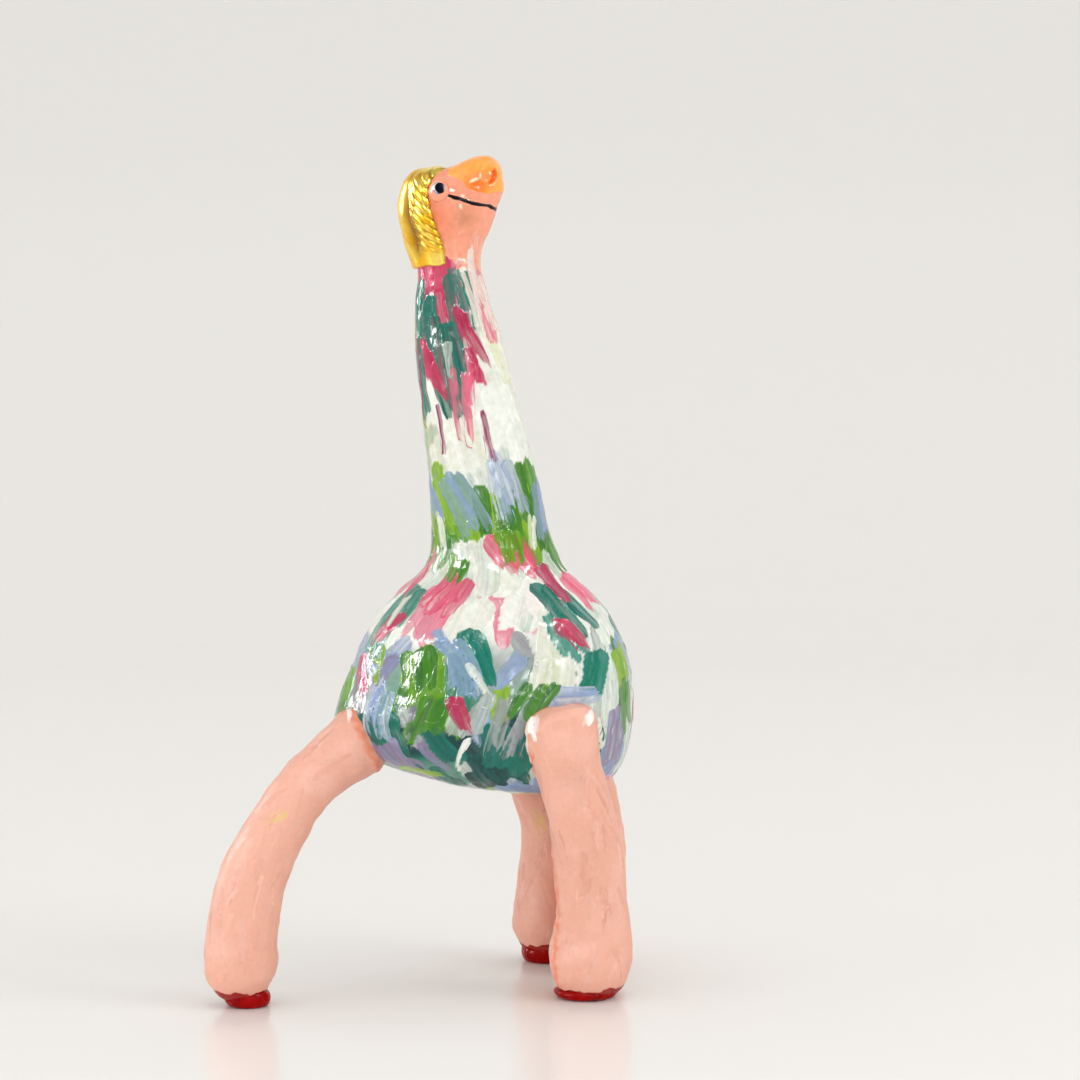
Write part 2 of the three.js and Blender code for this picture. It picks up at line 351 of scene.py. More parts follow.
class Brushwork:
    """Coats of brush strokes on a skin, kept as values for each vertex.

    Each coat holds how deep a vertex is inside its stroke, in millimetres and below 0 outside, where it is
    along and across that stroke, and the stroke's two paints.
    """

    # How a stroke runs: steps of its middle line, millimetres past its ends, the ends of t that it keeps
    # off, its shift aside as a share of the gap between strokes, and the degrees that its slant varies.
    STEPS = 14
    OVERRUN = 1.0
    TIP = 0.003
    ASIDE = 0.25
    SLANT_VARIES = 6.0

    # Its outline, in millimetres: the least and greatest depth kept, the fraying of its ends with radians
    # for each millimetre, and the wobble of its edges. The waver is a share of its breadth, and the softest
    # edge is wider than a plain one by that many times.
    FAR_OUT = -2.0
    DEEPEST = 2.5
    FRAY = 0.35
    FRAY_PITCHES = (1.1, 2.3, 3.7)
    WAVER = 0.1
    WAVER_PITCH = 7.0
    WOBBLE = 0.2
    WOBBLE_PITCH = 3.4
    SOFTEST = 2.5

    # Its paint: greatest share of the tint mixed in, how far its brightness varies, strength of the streaks,
    # width of a lane of bristles, greatest share picked up, and how far apart bristle marks may start.
    DIRTY = 0.25
    BRIGHTNESS = (0.9, 1.06)
    TINT_SHARE = 0.55
    LANE = 1.1
    PICK_UP = 0.5
    START = 60.0

    # Its relief: depths between which it steps up, and height, place and width of the pile at its edge.
    STEP_UP = (-0.3, 0.6)
    PILE, PILE_AT, PILE_WIDE = 0.8, 0.5, 0.5

    def __init__(self, skin: Skin, rings: Array, ground: Array, coats: int, seed: int) -> None:
        """Starts with the ground colour.

        Args:
            skin: The clay that the strokes run on.
            rings: The piece's points, as rows by sides by three.
            ground: Linear colour of each point under all strokes, as rows by sides by four.
            coats: How many coats there are.
            seed: Seed of everything random in the strokes.
        """
        self.skin = skin
        self.shape = rings.shape[:2]
        self.points = rings.reshape(-1, 3)
        self.normals = ring_normals(rings).reshape(-1, 3)
        self.ground = ground
        self.wet = ground.reshape(-1, 4)[:, :3].copy()
        self.wobble = self.WOBBLE * ripple(self.points, self.WOBBLE_PITCH, seed)
        self.rng = np.random.default_rng(seed)
        count = len(self.points)
        self.depth = np.full((coats, count), self.FAR_OUT)
        self.where = np.zeros((coats, count, 2))
        self.paint = np.zeros((coats, count, 4))
        self.tint = np.zeros((coats, count, 4))
        self.marks = np.zeros((coats, count), dtype=int)
        self.laid = 0

    def routes(self, daub: Daub) -> tuple[Array, Array]:
        """The middle lines of a daub's strokes, stepped over the skin by its own strides.

        Args:
            daub: The group of strokes.

        Returns:
            Points in millimetres, as strokes by steps by three, which overrun both ends of the stroke, and
            how far each stroke stands above and beside the daub's middle.
        """
        rng = self.rng
        count = daub.count
        aside = daub.wide * ((np.arange(count) + 0.5) / count - 0.5)
        aside += rng.uniform(-self.ASIDE, self.ASIDE, count) * daub.wide / count
        rise = daub.tall * rng.uniform(-0.5, 0.5, count)
        t = np.full(count, self.skin.at_height(daub.height))
        v = np.full(count, math.radians(daub.bearing - 90.0))
        up, turn = self.skin.strides(t, v)
        slant = np.radians(daub.slant + rng.uniform(-self.SLANT_VARIES, self.SLANT_VARIES, count))
        back = daub.length / 2 + self.OVERRUN
        t = t + (rise + back * np.cos(slant)) / up
        v = v + (aside - back * np.sin(slant)) / turn
        step = 2 * back / self.STEPS
        route = [self.skin.points(t, v)]
        for k in range(self.STEPS):
            heading = slant + math.radians(daub.bend) * ((k + 0.5) / self.STEPS - 0.5)
            up, turn = self.skin.strides(t, v)
            t = np.clip(t - step * np.cos(heading) / up, self.TIP, 1.0 - self.TIP)
            v = v + step * np.sin(heading) / turn
            route.append(self.skin.points(t, v))
        return np.stack(route, axis=1), np.stack([-rise, aside], axis=-1)

    def along_route(self, route: Array, near: Array) -> tuple[Array, Array]:
        """Places of vertices on a stroke, from the nearest point of its middle line.

        Args:
            route: The middle line's points.
            near: Numbers of the vertices.

        Returns:
            Millimetres along the stroke from its start, and millimetres across it with a sign for the side.
        """
        steps = np.diff(route, axis=0)
        sizes = np.linalg.norm(steps, axis=1) + 1e-9
        offset = self.points[near][:, None] - route[:-1]
        share = np.clip((offset * steps).sum(-1) / sizes**2, 0.0, 1.0)
        gap = offset - share[..., None] * steps
        nearest = (gap**2).sum(-1).argmin(1)
        pick = (np.arange(len(near)), nearest)
        start = np.concatenate([[0.0], np.cumsum(sizes)])[nearest]
        along = start + share[pick] * sizes[nearest] - self.OVERRUN
        side = np.cross(self.normals[near], steps[nearest])
        across = np.linalg.norm(gap[pick], axis=-1) * np.sign((gap[pick] * side).sum(-1))
        return along, across

    def stroke(self, daub: Daub, route: Array, origin: Array) -> None:
        """Lays one stroke: a tapering band with round, slightly frayed ends, and drier towards its end.

        Its depth is half its breadth less the distance from its middle line, which stops short of both ends
        by the radius of the rounding. Wet strokes have softer edges, with a depth that grows more slowly.

        Args:
            daub: The group that it belongs to.
            route: Points of its middle line.
            origin: Where its bristle marks start, along and across.
        """
        rng = self.rng
        reach = np.linalg.norm(route - route.mean(0), axis=1).max() + daub.breadth
        near = np.flatnonzero(((self.points - route.mean(0)) ** 2).sum(1) < reach**2)
        if not len(near):
            return
        along, across = self.along_route(route, near)
        share = np.clip(along / daub.length, 0.0, 1.0)
        phase = rng.uniform(0.0, 2.0 * math.pi, 4)
        shape = 1.0 - daub.taper * share**2 + self.WAVER * np.sin(self.WAVER_PITCH * share + phase[0])
        radius = min(daub.breadth, daub.length) / 2
        beyond = (along - np.clip(along, radius, daub.length - radius)) / radius
        fray = sum(np.sin(across * pitch + p) for pitch, p in zip(self.FRAY_PITCHES, phase[1:]))
        half = daub.breadth / 2 * shape
        frayed = self.FRAY / len(self.FRAY_PITCHES) * fray * np.abs(beyond)
        depth = half - np.hypot(across, beyond * half) + frayed + self.wobble[near]
        colour = self.mixed(daub, near, across, depth > 0.0)
        soft = 1.0 + self.SOFTEST * rng.uniform() ** 4
        dry = np.clip(daub.dry * (0.5 + 1.4 * share**2), 0.0, 1.0)
        where = np.stack([along, across], -1) + origin
        self.lay(daub.layer, near, depth / soft, where, (colour, dry), (daub.tint.rgb, self.TINT_SHARE))

    def mixed(self, daub: Daub, near: Array, across: Array, inside: Array) -> Array:
        """The paint of a stroke, with what its bristles picked up from the wet paint under it.

        The stroke is split into lanes. Each lane carries its own share of the mean colour that it runs
        through, and later strokes run through what this one leaves. Paints mix by the cube roots of their
        linear values, because the darker of two pigments wins.

        Args:
            daub: The group that the stroke belongs to.
            near: Numbers of the vertices that it may reach.
            across: Millimetres across the stroke at each of them.
            inside: Which of them it covers.

        Returns:
            Linear colour at each of the vertices.
        """
        rng = self.rng
        dirt = rng.uniform(0.0, self.DIRTY)
        fresh = (daub.paint.rgb * (1.0 - dirt) + daub.tint.rgb * dirt) * rng.uniform(*self.BRIGHTNESS)
        edges = np.arange(-daub.breadth, daub.breadth + self.LANE, self.LANE)
        lane = np.clip((across + daub.breadth) / self.LANE, 0, len(edges) - 1).astype(int)[inside]
        below = self.wet[near]
        load = np.bincount(lane, minlength=len(edges))
        sums = [np.bincount(lane, channel, len(edges)) for channel in below[inside].T]
        picked = np.stack(sums, -1) / np.maximum(load, 1)[:, None]
        share = self.PICK_UP * rng.uniform(0.0, 1.0, len(edges)) ** 2 * (load > 0)
        streaks = np.cbrt(fresh) + share[:, None] * (np.cbrt(picked) - np.cbrt(fresh))
        middles = edges + self.LANE / 2
        colour = np.stack([np.interp(across, middles, channel) for channel in streaks.T], -1) ** 3
        cover = np.where(inside, 1.0 - 0.5 * daub.dry, 0.0)[:, None]
        self.wet[near] = below + cover * (colour - below)
        return colour

    def lay(self, coat: int, near: Array, depth: Array, where: Array, paint: tuple, tint: tuple) -> None:
        """Adds one patch of paint to a coat: it covers what it overlaps, and the coat's depth only grows.

        Args:
            coat: Which coat.
            near: Numbers of the vertices that the patch may reach.
            depth: Depth inside the patch at each of them.
            where: Place along and across the patch at each of them.
            paint: The paint's linear colour and how dry it is, for all or for each of the vertices.
            tint: The streaks' linear colour and how strongly they show.
        """
        wins = (depth > 0.0) | (depth > self.depth[coat, near])
        chosen = near[wins]
        self.where[coat, chosen] = where[wins]
        self.paint[coat, chosen, :3] = np.broadcast_to(paint[0], (len(near), 3))[wins]
        self.paint[coat, chosen, 3] = np.broadcast_to(paint[1], depth.shape)[wins]
        self.tint[coat, chosen] = (*tint[0], tint[1])
        self.laid += 1
        self.marks[coat, chosen] = self.laid
        self.depth[coat, near] = np.maximum(self.depth[coat, near], depth)

    def daub(self, daubs: Iterable[Daub]) -> None:
        """Lays every stroke of every daub, in order."""
        for group in daubs:
            routes, shifts = self.routes(group)
            start = self.rng.uniform(0.0, self.START, 2)
            for route, shift in zip(routes, shifts):
                self.stroke(group, route, start + shift)

    def area(
        self, coat: int, depth: Array, colour: Array, tint: Paint, dry: float = 0.0, share: float = 0.6
    ) -> None:
        """Lays an area that is given by its depth at every vertex, brushed along the figure's length.

        Args:
            coat: Which coat.
            depth: Depth inside the area at each vertex.
            colour: Linear colour, for all or for each of the vertices.
            tint: Paint of the streaks.
            dry: How dry the brush is.
            share: How strongly the streaks show.
        """
        where = np.stack([self.points[:, 0], self.points[:, 2] + self.points[:, 1]], -1)
        self.lay(coat, np.arange(depth.size), depth.ravel(), where, (colour, dry), (tint.rgb, share))

    def relief(self, thickness: tuple[float, ...]) -> Array:
        """Thickness of the paint: each coat steps up inside its strokes and piles up along their edges.

        Args:
            thickness: Thickness of each coat in millimetres.

        Returns:
            Millimetres for each vertex, as rows by sides.
        """
        pile = self.PILE * np.exp(-(((self.depth - self.PILE_AT) / self.PILE_WIDE) ** 2))
        rise = smooth(self.depth, *self.STEP_UP) + pile
        return (np.array(thickness) @ rise).reshape(self.shape)

    def seams(self, coat: int) -> Array:
        """Which vertices of a coat have a neighbour, on the grid, that belongs to another stroke."""
        grid = self.marks[coat].reshape(self.shape)
        steps = ((1, 0), (-1, 0), (1, 1), (-1, 1))
        return np.any([np.roll(grid, step, axis) != grid for step, axis in steps], axis=0).ravel()

    def looks(self) -> dict[str, Array]:
        """The coats' values under the names that the painted finish reads, as rows by sides.

        Bristle marks stop at the seams, because they don't run on from one stroke to the next.
        """
        found = {"ground": self.ground}
        for k, (depth, where, paint, tint) in enumerate(zip(self.depth, self.where, self.paint, self.tint)):
            running = ~self.seams(k)
            paint[:, 3] *= running
            tint[:, 3] *= running
            clipped = np.clip(depth, self.FAR_OUT, self.DEEPEST)
            found[f"brush_{k}"] = np.column_stack([where, clipped]).reshape(*self.shape, 3)
            found[f"paint_{k}"] = paint.reshape(*self.shape, 4)
            found[f"tint_{k}"] = tint.reshape(*self.shape, 4)
        return found


def add(tree: bpy.types.NodeTree, kind: str, inputs: dict, **settings: object) -> bpy.types.Node:
    """Adds a node with its settings and links.

    Args:
        tree: The material's nodes.
        kind: The node's type name.
        inputs: A value, or a socket to link, for each input's name or number.
        settings: The node's own properties.

    Returns:
        The new node.
    """
    node = tree.nodes.new(kind)
    for key, value in settings.items():
        setattr(node, key, value)
    for key, value in inputs.items():
        if isinstance(value, bpy.types.NodeSocket):
            tree.links.new(value, node.inputs[key])
        else:
            node.inputs[key].default_value = value
    return node


def new_material(name: str) -> tuple[bpy.types.Material, bpy.types.NodeTree, bpy.types.Node]:
    """Starts a material and returns it with its nodes and its shader."""
    material = bpy.data.materials.new(name)
    material.use_nodes = True
    tree = material.node_tree
    return material, tree, tree.nodes["Principled BSDF"]


@dataclass(frozen=True)
class PaintedClay:
    """Acrylic paint brushed on baked polymer clay.

    The eye sees streaks from the bristles, edges that fray where the brush ran dry, and the gloss or the
    dullness of what was brushed over it all. It reads the values of Brushwork and a ground colour.

    Attributes:
        name: What the finish is.
        coats: How many coats of strokes it has.
        gloss: Roughness of its shiniest and of its dullest places.
        ridge: Height of the bristle marks in millimetres.
        film: Thickness of one coat in millimetres, which its edge piles up to again.
        bristle: Width of the broadest bristle marks in millimetres. Finer ones are halves of it.
        grain: Size of the clay's own unevenness in millimetres.
        pits: Height of that unevenness in millimetres.
        mottle: How far the unevenness lightens and darkens the colour.
        specular: Strength of the reflection, with 0.5 for plain varnish.
    """

    name: str
    coats: int
    gloss: tuple[float, float]
    ridge: float = 0.17
    film: float = 0.05
    bristle: float = 1.2
    grain: float = 1.8
    pits: float = 0.03
    mottle: float = 0.08
    specular: float = 0.5

    EDGE = 0.12
    LIP = 0.5
    DRAG = 14.0
    SETTLED = 0.6

    def material(self) -> bpy.types.Material:
        """Builds the nodes: a ground, then for each coat a mask from its depth and its bristle marks."""
        material, tree, shader = new_material(self.name)
        place = add(tree, "ShaderNodeTexCoord", {}).outputs["Object"]
        clay = {"Vector": place, "Scale": 1.0 / (self.grain * MM), "Detail": 4.0, "Roughness": 0.55}
        grain = add(tree, "ShaderNodeTexNoise", clay).outputs["Fac"]
        colour = add(tree, "ShaderNodeAttribute", {}, attribute_name="ground").outputs["Color"]
        height = add(tree, "ShaderNodeMath", {0: grain, 1: self.pits * MM}, operation="MULTIPLY").outputs[0]
        for coat in range(self.coats):
            colour, height = self.coat(tree, coat, colour, height)
        low, high = 1.0 - self.mottle, 1.0 + self.mottle
        value = add(tree, "ShaderNodeMapRange", {0: grain, 1: 0.3, 2: 0.7, 3: low, 4: high}).outputs[0]
        shaded = add(tree, "ShaderNodeHueSaturation", {"Color": colour, "Value": value}).outputs[0]
        dull = {0: grain, 1: 0.35, 2: 0.7, 3: self.gloss[0], 4: self.gloss[1]}
        rough = add(tree, "ShaderNodeMapRange", dull).outputs[0]
        bump = add(tree, "ShaderNodeBump", {"Height": height, "Distance": 1.0, "Strength": 1.0})
        shader.inputs["Specular IOR Level"].default_value = self.specular
        for socket, source in (("Base Color", shaded), ("Roughness", rough), ("Normal", bump.outputs[0])):
            tree.links.new(source, shader.inputs[socket])
        return material

    def coat(
        self, tree: bpy.types.NodeTree, coat: int, colour: bpy.types.NodeSocket, height: bpy.types.NodeSocket
    ) -> tuple[bpy.types.NodeSocket, bpy.types.NodeSocket]:
        """Lays one coat over the colour and the height so far, and returns both sockets."""
        brush = add(tree, "ShaderNodeAttribute", {}, attribute_name=f"brush_{coat}").outputs["Vector"]
        paint = add(tree, "ShaderNodeAttribute", {}, attribute_name=f"paint_{coat}")
        tint = add(tree, "ShaderNodeAttribute", {}, attribute_name=f"tint_{coat}")
        depth = add(tree, "ShaderNodeSeparateXYZ", {0: brush}).outputs["Z"]
        stretch = (1.0 / (self.bristle * self.DRAG), 1.0 / self.bristle, 0.0)
        marks = add(tree, "ShaderNodeVectorMath", {0: brush, 1: stretch}, operation="MULTIPLY").outputs[0]
        noise = {"Vector": marks, "Scale": 1.0, "Detail": 4.0, "Roughness": 0.62}
        hairs = add(tree, "ShaderNodeTexNoise", noise)
        bristle = add(tree, "ShaderNodeSeparateXYZ", {0: hairs.outputs["Color"]})
        streak = {0: bristle.outputs["X"], 1: 0.5}
        streak = add(tree, "ShaderNodeMath", streak, operation="SUBTRACT").outputs[0]
        swing = {0: paint.outputs["Alpha"], 1: 5.5, 2: 0.4}
        swing = add(tree, "ShaderNodeMath", swing, operation="MULTIPLY_ADD").outputs[0]
        cover = {0: streak, 1: swing, 2: depth}
        cover = add(tree, "ShaderNodeMath", cover, operation="MULTIPLY_ADD").outputs[0]
        edge = {0: cover, 1: -self.EDGE, 2: self.EDGE}
        mask = add(tree, "ShaderNodeMapRange", edge, interpolation_type="SMOOTHSTEP").outputs[0]
        gaps = add(tree, "ShaderNodeMapRange", {0: bristle.outputs["Z"], 1: 0.4, 2: 0.62}).outputs[0]
        bare = {0: gaps, 1: paint.outputs["Alpha"]}
        bare = add(tree, "ShaderNodeMath", bare, operation="MULTIPLY", use_clamp=True).outputs[0]
        solid = add(tree, "ShaderNodeMath", {0: 1.0, 1: bare}, operation="SUBTRACT").outputs[0]
        opaque = add(tree, "ShaderNodeMath", {0: mask, 1: solid}, operation="MULTIPLY").outputs[0]
        mixed = add(tree, "ShaderNodeMapRange", {0: bristle.outputs["Y"], 1: 0.42, 2: 0.68}).outputs[0]
        share = {0: mixed, 1: tint.outputs["Alpha"]}
        share = add(tree, "ShaderNodeMath", share, operation="MULTIPLY").outputs[0]
        loaded = {0: share, 6: paint.outputs["Color"], 7: tint.outputs["Color"]}
        loaded = add(tree, "ShaderNodeMix", loaded, data_type="RGBA").outputs[2]
        over = add(tree, "ShaderNodeMix", {0: opaque, 6: colour, 7: loaded}, data_type="RGBA").outputs[2]
        under = {0: height, 1: self.SETTLED, 2: self.film * MM}
        under = add(tree, "ShaderNodeMath", under, operation="MULTIPLY_ADD").outputs[0]
        deep = {0: tint.outputs["Alpha"], 1: self.ridge * MM}
        deep = add(tree, "ShaderNodeMath", deep, operation="MULTIPLY").outputs[0]
        top = {0: streak, 1: deep, 2: under}
        top = add(tree, "ShaderNodeMath", top, operation="MULTIPLY_ADD").outputs[0]
        raised = add(tree, "ShaderNodeMix", {0: mask, 2: height, 3: top}, data_type="FLOAT").outputs[0]
        inner = {0: cover, 1: self.EDGE, 2: self.EDGE + self.LIP}
        inner = add(tree, "ShaderNodeMapRange", inner, interpolation_type="SMOOTHSTEP").outputs[0]
        lip = add(tree, "ShaderNodeMath", {0: mask, 1: inner}, operation="SUBTRACT").outputs[0]
        piled = {0: lip, 1: self.film * MM, 2: raised}
        return over, add(tree, "ShaderNodeMath", piled, operation="MULTIPLY_ADD").outputs[0]


@dataclass(frozen=True)
class GoldPaint:
    """Metallic gold paint on combed clay: bright on the ridges, with painted shade in brown in the hollows
    and round the edges.

    It reads how much painted shade each place has, and how much painted light makes the gold paler there.
    """

    name: str = "gold_paint_on_clay"
    bright: str = "#eeb416"
    pale: str = "#fde06a"
    hollow_shade: str = "#7c4605"
    roughness: tuple[float, float] = (0.2, 0.3)
    metallic: float = 0.68
    wash: float = 4.0

    def material(self) -> bpy.types.Material:
        """Mixes the golds by a wide wash, by painted light and by painted shade in the hollows. A paler wash
        is glossier.
        """
        material, tree, shader = new_material(self.name)
        place = add(tree, "ShaderNodeTexCoord", {}).outputs["Object"]
        wide = {"Vector": place, "Scale": 1.0 / (self.wash * MM), "Detail": 3.0}
        wash = add(tree, "ShaderNodeTexNoise", wide).outputs["Fac"]
        patchy = add(tree, "ShaderNodeMapRange", {0: wash, 1: 0.4, 2: 0.65, 4: 0.7}).outputs[0]
        # Painted light: paler gold where light falls, on the crown and on the lower plate.
        painted_light = add(tree, "ShaderNodeAttribute", {}, attribute_name="painted_light").outputs["Fac"]
        paler = add(tree, "ShaderNodeMath", {0: patchy, 1: painted_light}, operation="MAXIMUM").outputs[0]
        golds = {0: paler, 6: (*linear(self.bright), 1.0), 7: (*linear(self.pale), 1.0)}
        gold = add(tree, "ShaderNodeMix", golds, data_type="RGBA").outputs[2]
        # Painted shade: the gold turns brown in the grooves, the furrow and round the edges.
        hollow_shade = add(tree, "ShaderNodeAttribute", {}, attribute_name="hollow_shade").outputs["Fac"]
        thin = {0: hollow_shade, 6: gold, 7: (*linear(self.hollow_shade), 1.0)}
        colour = add(tree, "ShaderNodeMix", thin, data_type="RGBA").outputs[2]
        rough = {0: wash, 1: 0.7, 2: 0.3, 3: self.roughness[0], 4: self.roughness[1]}
        rough = add(tree, "ShaderNodeMapRange", rough).outputs[0]
        shader.inputs["Metallic"].default_value = self.metallic
        for socket, source in (("Base Color", colour), ("Roughness", rough)):
            tree.links.new(source, shader.inputs[socket])
        return material


def ground_colour(shape: tuple[int, int], paint: Paint) -> Array:
    """One paint all over, as rows by sides of linear red, green, blue and alpha."""
    return np.broadcast_to(np.append(paint.rgb, 1.0), (*shape, 4)).copy()


def blend(under: Array, over: Paint, share: Array) -> Array:
    """Mixes a paint into ground colours by a share for each point."""
    return under + share[..., None] * (np.append(over.rgb, 1.0) - under)


def dress(piece: bpy.types.Object, material: bpy.types.Material, node: str) -> None:
    """Gives a piece its finish, hangs it from the root, hides the CAD node that it stands for and logs which
    node that is.
    """
    piece.data.materials.append(material)
    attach(piece, "root")
    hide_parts(node)
    log.info("%s: %d faces for %s", piece.name, len(piece.data.polygons), node)


class Lump(Skin):
    """The body, neck and head, as rings along a spine from under the belly to the tip of the snout.

    A ring at t has its middle at (x, z), leans by tilt, and is an ellipse with half-size reach towards the
    throat and spread sideways: point = middle + reach cos v (cos tilt, 0, sin tilt) + spread sin v (0, 1, 0).
    """

    # x and z of a ring's middle, tilt in degrees, reach and spread, all else in millimetres.
    STATIONS = np.array(
        [
            (24.0, 53.2, -6, 0, 0),
            (22.8, 54.0, -6, 15, 12.5),
            (21.2, 56.6, -5, 27, 22.5),
            (18.2, 62.2, -4, 35.6, 29.3),
            (17.2, 70.8, -2, 39.1, 31.8),
            (18.9, 84.2, 0, 36.8, 30.6),
            (19.4, 96.1, 0, 32.2, 27.4),
            (20.0, 105.4, 0, 25.2, 22.2),
            (20.1, 111.6, 1, 18.6, 17.4),
            (19.3, 119.4, 2, 15.7, 15.2),
            (17.0, 134.7, 0, 14.2, 13.9),
            (14.4, 150.5, 0, 13.1, 12.8),
            (11.4, 166.3, 0, 11.7, 11.3),
            (9.1, 182.0, 0, 9.3, 9.1),
            (8.2, 191.0, 0, 8.2, 8.1),
            (7.9, 197.1, -6, 9.2, 8.5),
            (7.8, 202.0, -15, 11.0, 9.2),
            (8.9, 206.5, -21, 11.6, 9.4),
            (10.7, 209.6, -27, 11.0, 9.0),
            (13.1, 210.8, -33, 9.3, 8.4),
            (15.6, 212.0, -44, 7.6, 7.8),
            (18.0, 213.4, -58, 6.7, 7.3),
            (20.2, 214.3, -71, 5.5, 6.2),
            (21.7, 214.5, -77, 3.5, 4.2),
            (22.4, 214.6, -80, 0, 0),
        ]
    )
    ROWS, SIDES, TIP, CROWD = 384, 256, 0.006, 0.38
    FINE = (0.52, 0.62, 2.1)
    COATS = 5
    COAT_THICKNESS = (0.04, 0.06, 0.07, 0.08, 0.1)
    FINISH = PaintedClay("varnished_acrylic_on_clay", COATS, gloss=(0.07, 0.18), specular=0.34)
    FACE_THIN = 0.7
    SEED = 11

    # The clay swells over the near front leg: middle, height and size of the swelling in millimetres.
    OVER_LEG = np.array([38.0, -26.0, 84.0])
    SWELL, SWELL_SIZE = 1.0, 6.5

    # The hand's unevenness: height and wavelength in millimetres, and seed. It ends below the head.
    KNEADING = ((0.3, 16.0, 3), (0.12, 6.0, 4))
    KNEADED = (185.0, 195.0)

    # The wavering of the washes' borders, likewise.
    WAVERING = (5.0, 14.0, 5)

    # Height in millimetres and the wash that lies there.
    BANDS = (
        (56.0, Paint.SAGE),
        (64.0, Paint.TEAL),
        (68.0, Paint.DEEP_TEAL),
        (74.0, Paint.DEEP_TEAL),
        (80.0, Paint.SAGE),
        (90.0, Paint.GREY),
        (97.0, Paint.WHITE),
        (110.0, Paint.WHITE),
        (118.0, Paint.GRASS),
        (131.0, Paint.SAGE),
        (137.0, Paint.CREAM),
        (160.0, Paint.WHITE),
    )

    def ring(self, t: Array, lean: Array | float = 0.0) -> tuple[Array, Array, Array, Array]:
        """Middle, throatward direction, reach and spread of the rings at t, tilted by lean degrees more."""
        x, z, tilt, reach, spread = np.moveaxis(spline(self.STATIONS, t), -1, 0)
        angle = np.radians(tilt + lean)
        middle = np.stack([x, np.zeros_like(x), z], -1)
        fore = np.stack([np.cos(angle), np.zeros_like(x), np.sin(angle)], -1)
        return middle, fore, reach, spread

    def points(self, t: Array, v: Array, swell: Array | float = 0.0, lean: Array | float = 0.0) -> Array:
        """Points of the leaning ellipses, with swell added to both half-sizes."""
        middle, fore, reach, spread = self.ring(t, lean)
        across = np.array([0.0, 1.0, 0.0])
        out = ((reach + swell) * np.cos(v))[..., None] * fore
        return middle + out + ((spread + swell) * np.sin(v))[..., None] * across

    def station(self, number: Array | float) -> Array | float:
        """The t of places that count the stations."""
        return number / (len(self.STATIONS) - 1)

    def gap(self, points: Array) -> Array:
        """Rough distance of points outside the round body, from the ellipse at their own height."""
        low = np.linspace(self.station(2), self.station(9), 400)
        x, z, _, reach, spread = np.moveaxis(spline(self.STATIONS, low), -1, 0)
        place = points[..., 2]
        middle, half, side = (np.interp(place, z, f) for f in (x, reach, spread))
        share = np.hypot((points[..., 0] - middle) / half, points[..., 1] / side)
        return (share - 1.0) * np.minimum(half, side)

    def build(self) -> bpy.types.Object:
        """Shapes the lump, paints it and returns it."""
        rings = self.rings(self.ROWS, self.SIDES, self.TIP, self.FINE, self.CROWD)
        face = Face(rings)
        brush = Brushwork(self, rings, self.ground(rings, face), self.COATS, self.SEED)
        brush.daub(painting(self.SEED))
        face.paint(brush)
        thin = 1.0 - self.FACE_THIN * face.mask
        rise = self.shaping(rings) + face.relief() + brush.relief(self.COAT_THICKNESS) * thin
        shaped = rings + rise[..., None] * ring_normals(rings)
        piece = loft("painted_lump", shaped, brush.looks())
        dress(piece, self.FINISH.material(), "body")
        return piece

    def ground(self, rings: Array, face: "Face") -> Array:
        """The first wash of paint: bands of colour by height, with wavering borders, and the peach face with
        painted shade in umber under the jaw.
        """
        far, wavelength, seed = self.WAVERING
        height = rings[..., 2] + far * ripple(rings, wavelength, seed)
        heights = [level for level, _ in self.BANDS]
        colours = np.array([paint.rgb for _, paint in self.BANDS])
        wash = np.stack([np.interp(height, heights, channel) for channel in colours.T], -1)
        ground = np.concatenate([wash, np.ones_like(wash[..., :1])], -1)
        ground = blend(ground, Paint.PEACH, face.mask)
        ground = blend(ground, Paint.BLUSH, face.mask * face.blush)
        return blend(ground, Paint.UMBER, face.mask * face.jaw_shade)

    def shaping(self, rings: Array) -> Array:
        """The hand's unevenness, wide and shallow, and the swelling of clay over the near front leg."""
        away = np.linalg.norm(rings - self.OVER_LEG, axis=-1)
        swell = self.SWELL * np.exp(-((away / self.SWELL_SIZE) ** 2))
        body = 1.0 - smooth(rings[..., 2], *self.KNEADED)
        return swell + body * sum(rise * ripple(rings, wide, seed) for rise, wide, seed in self.KNEADING)


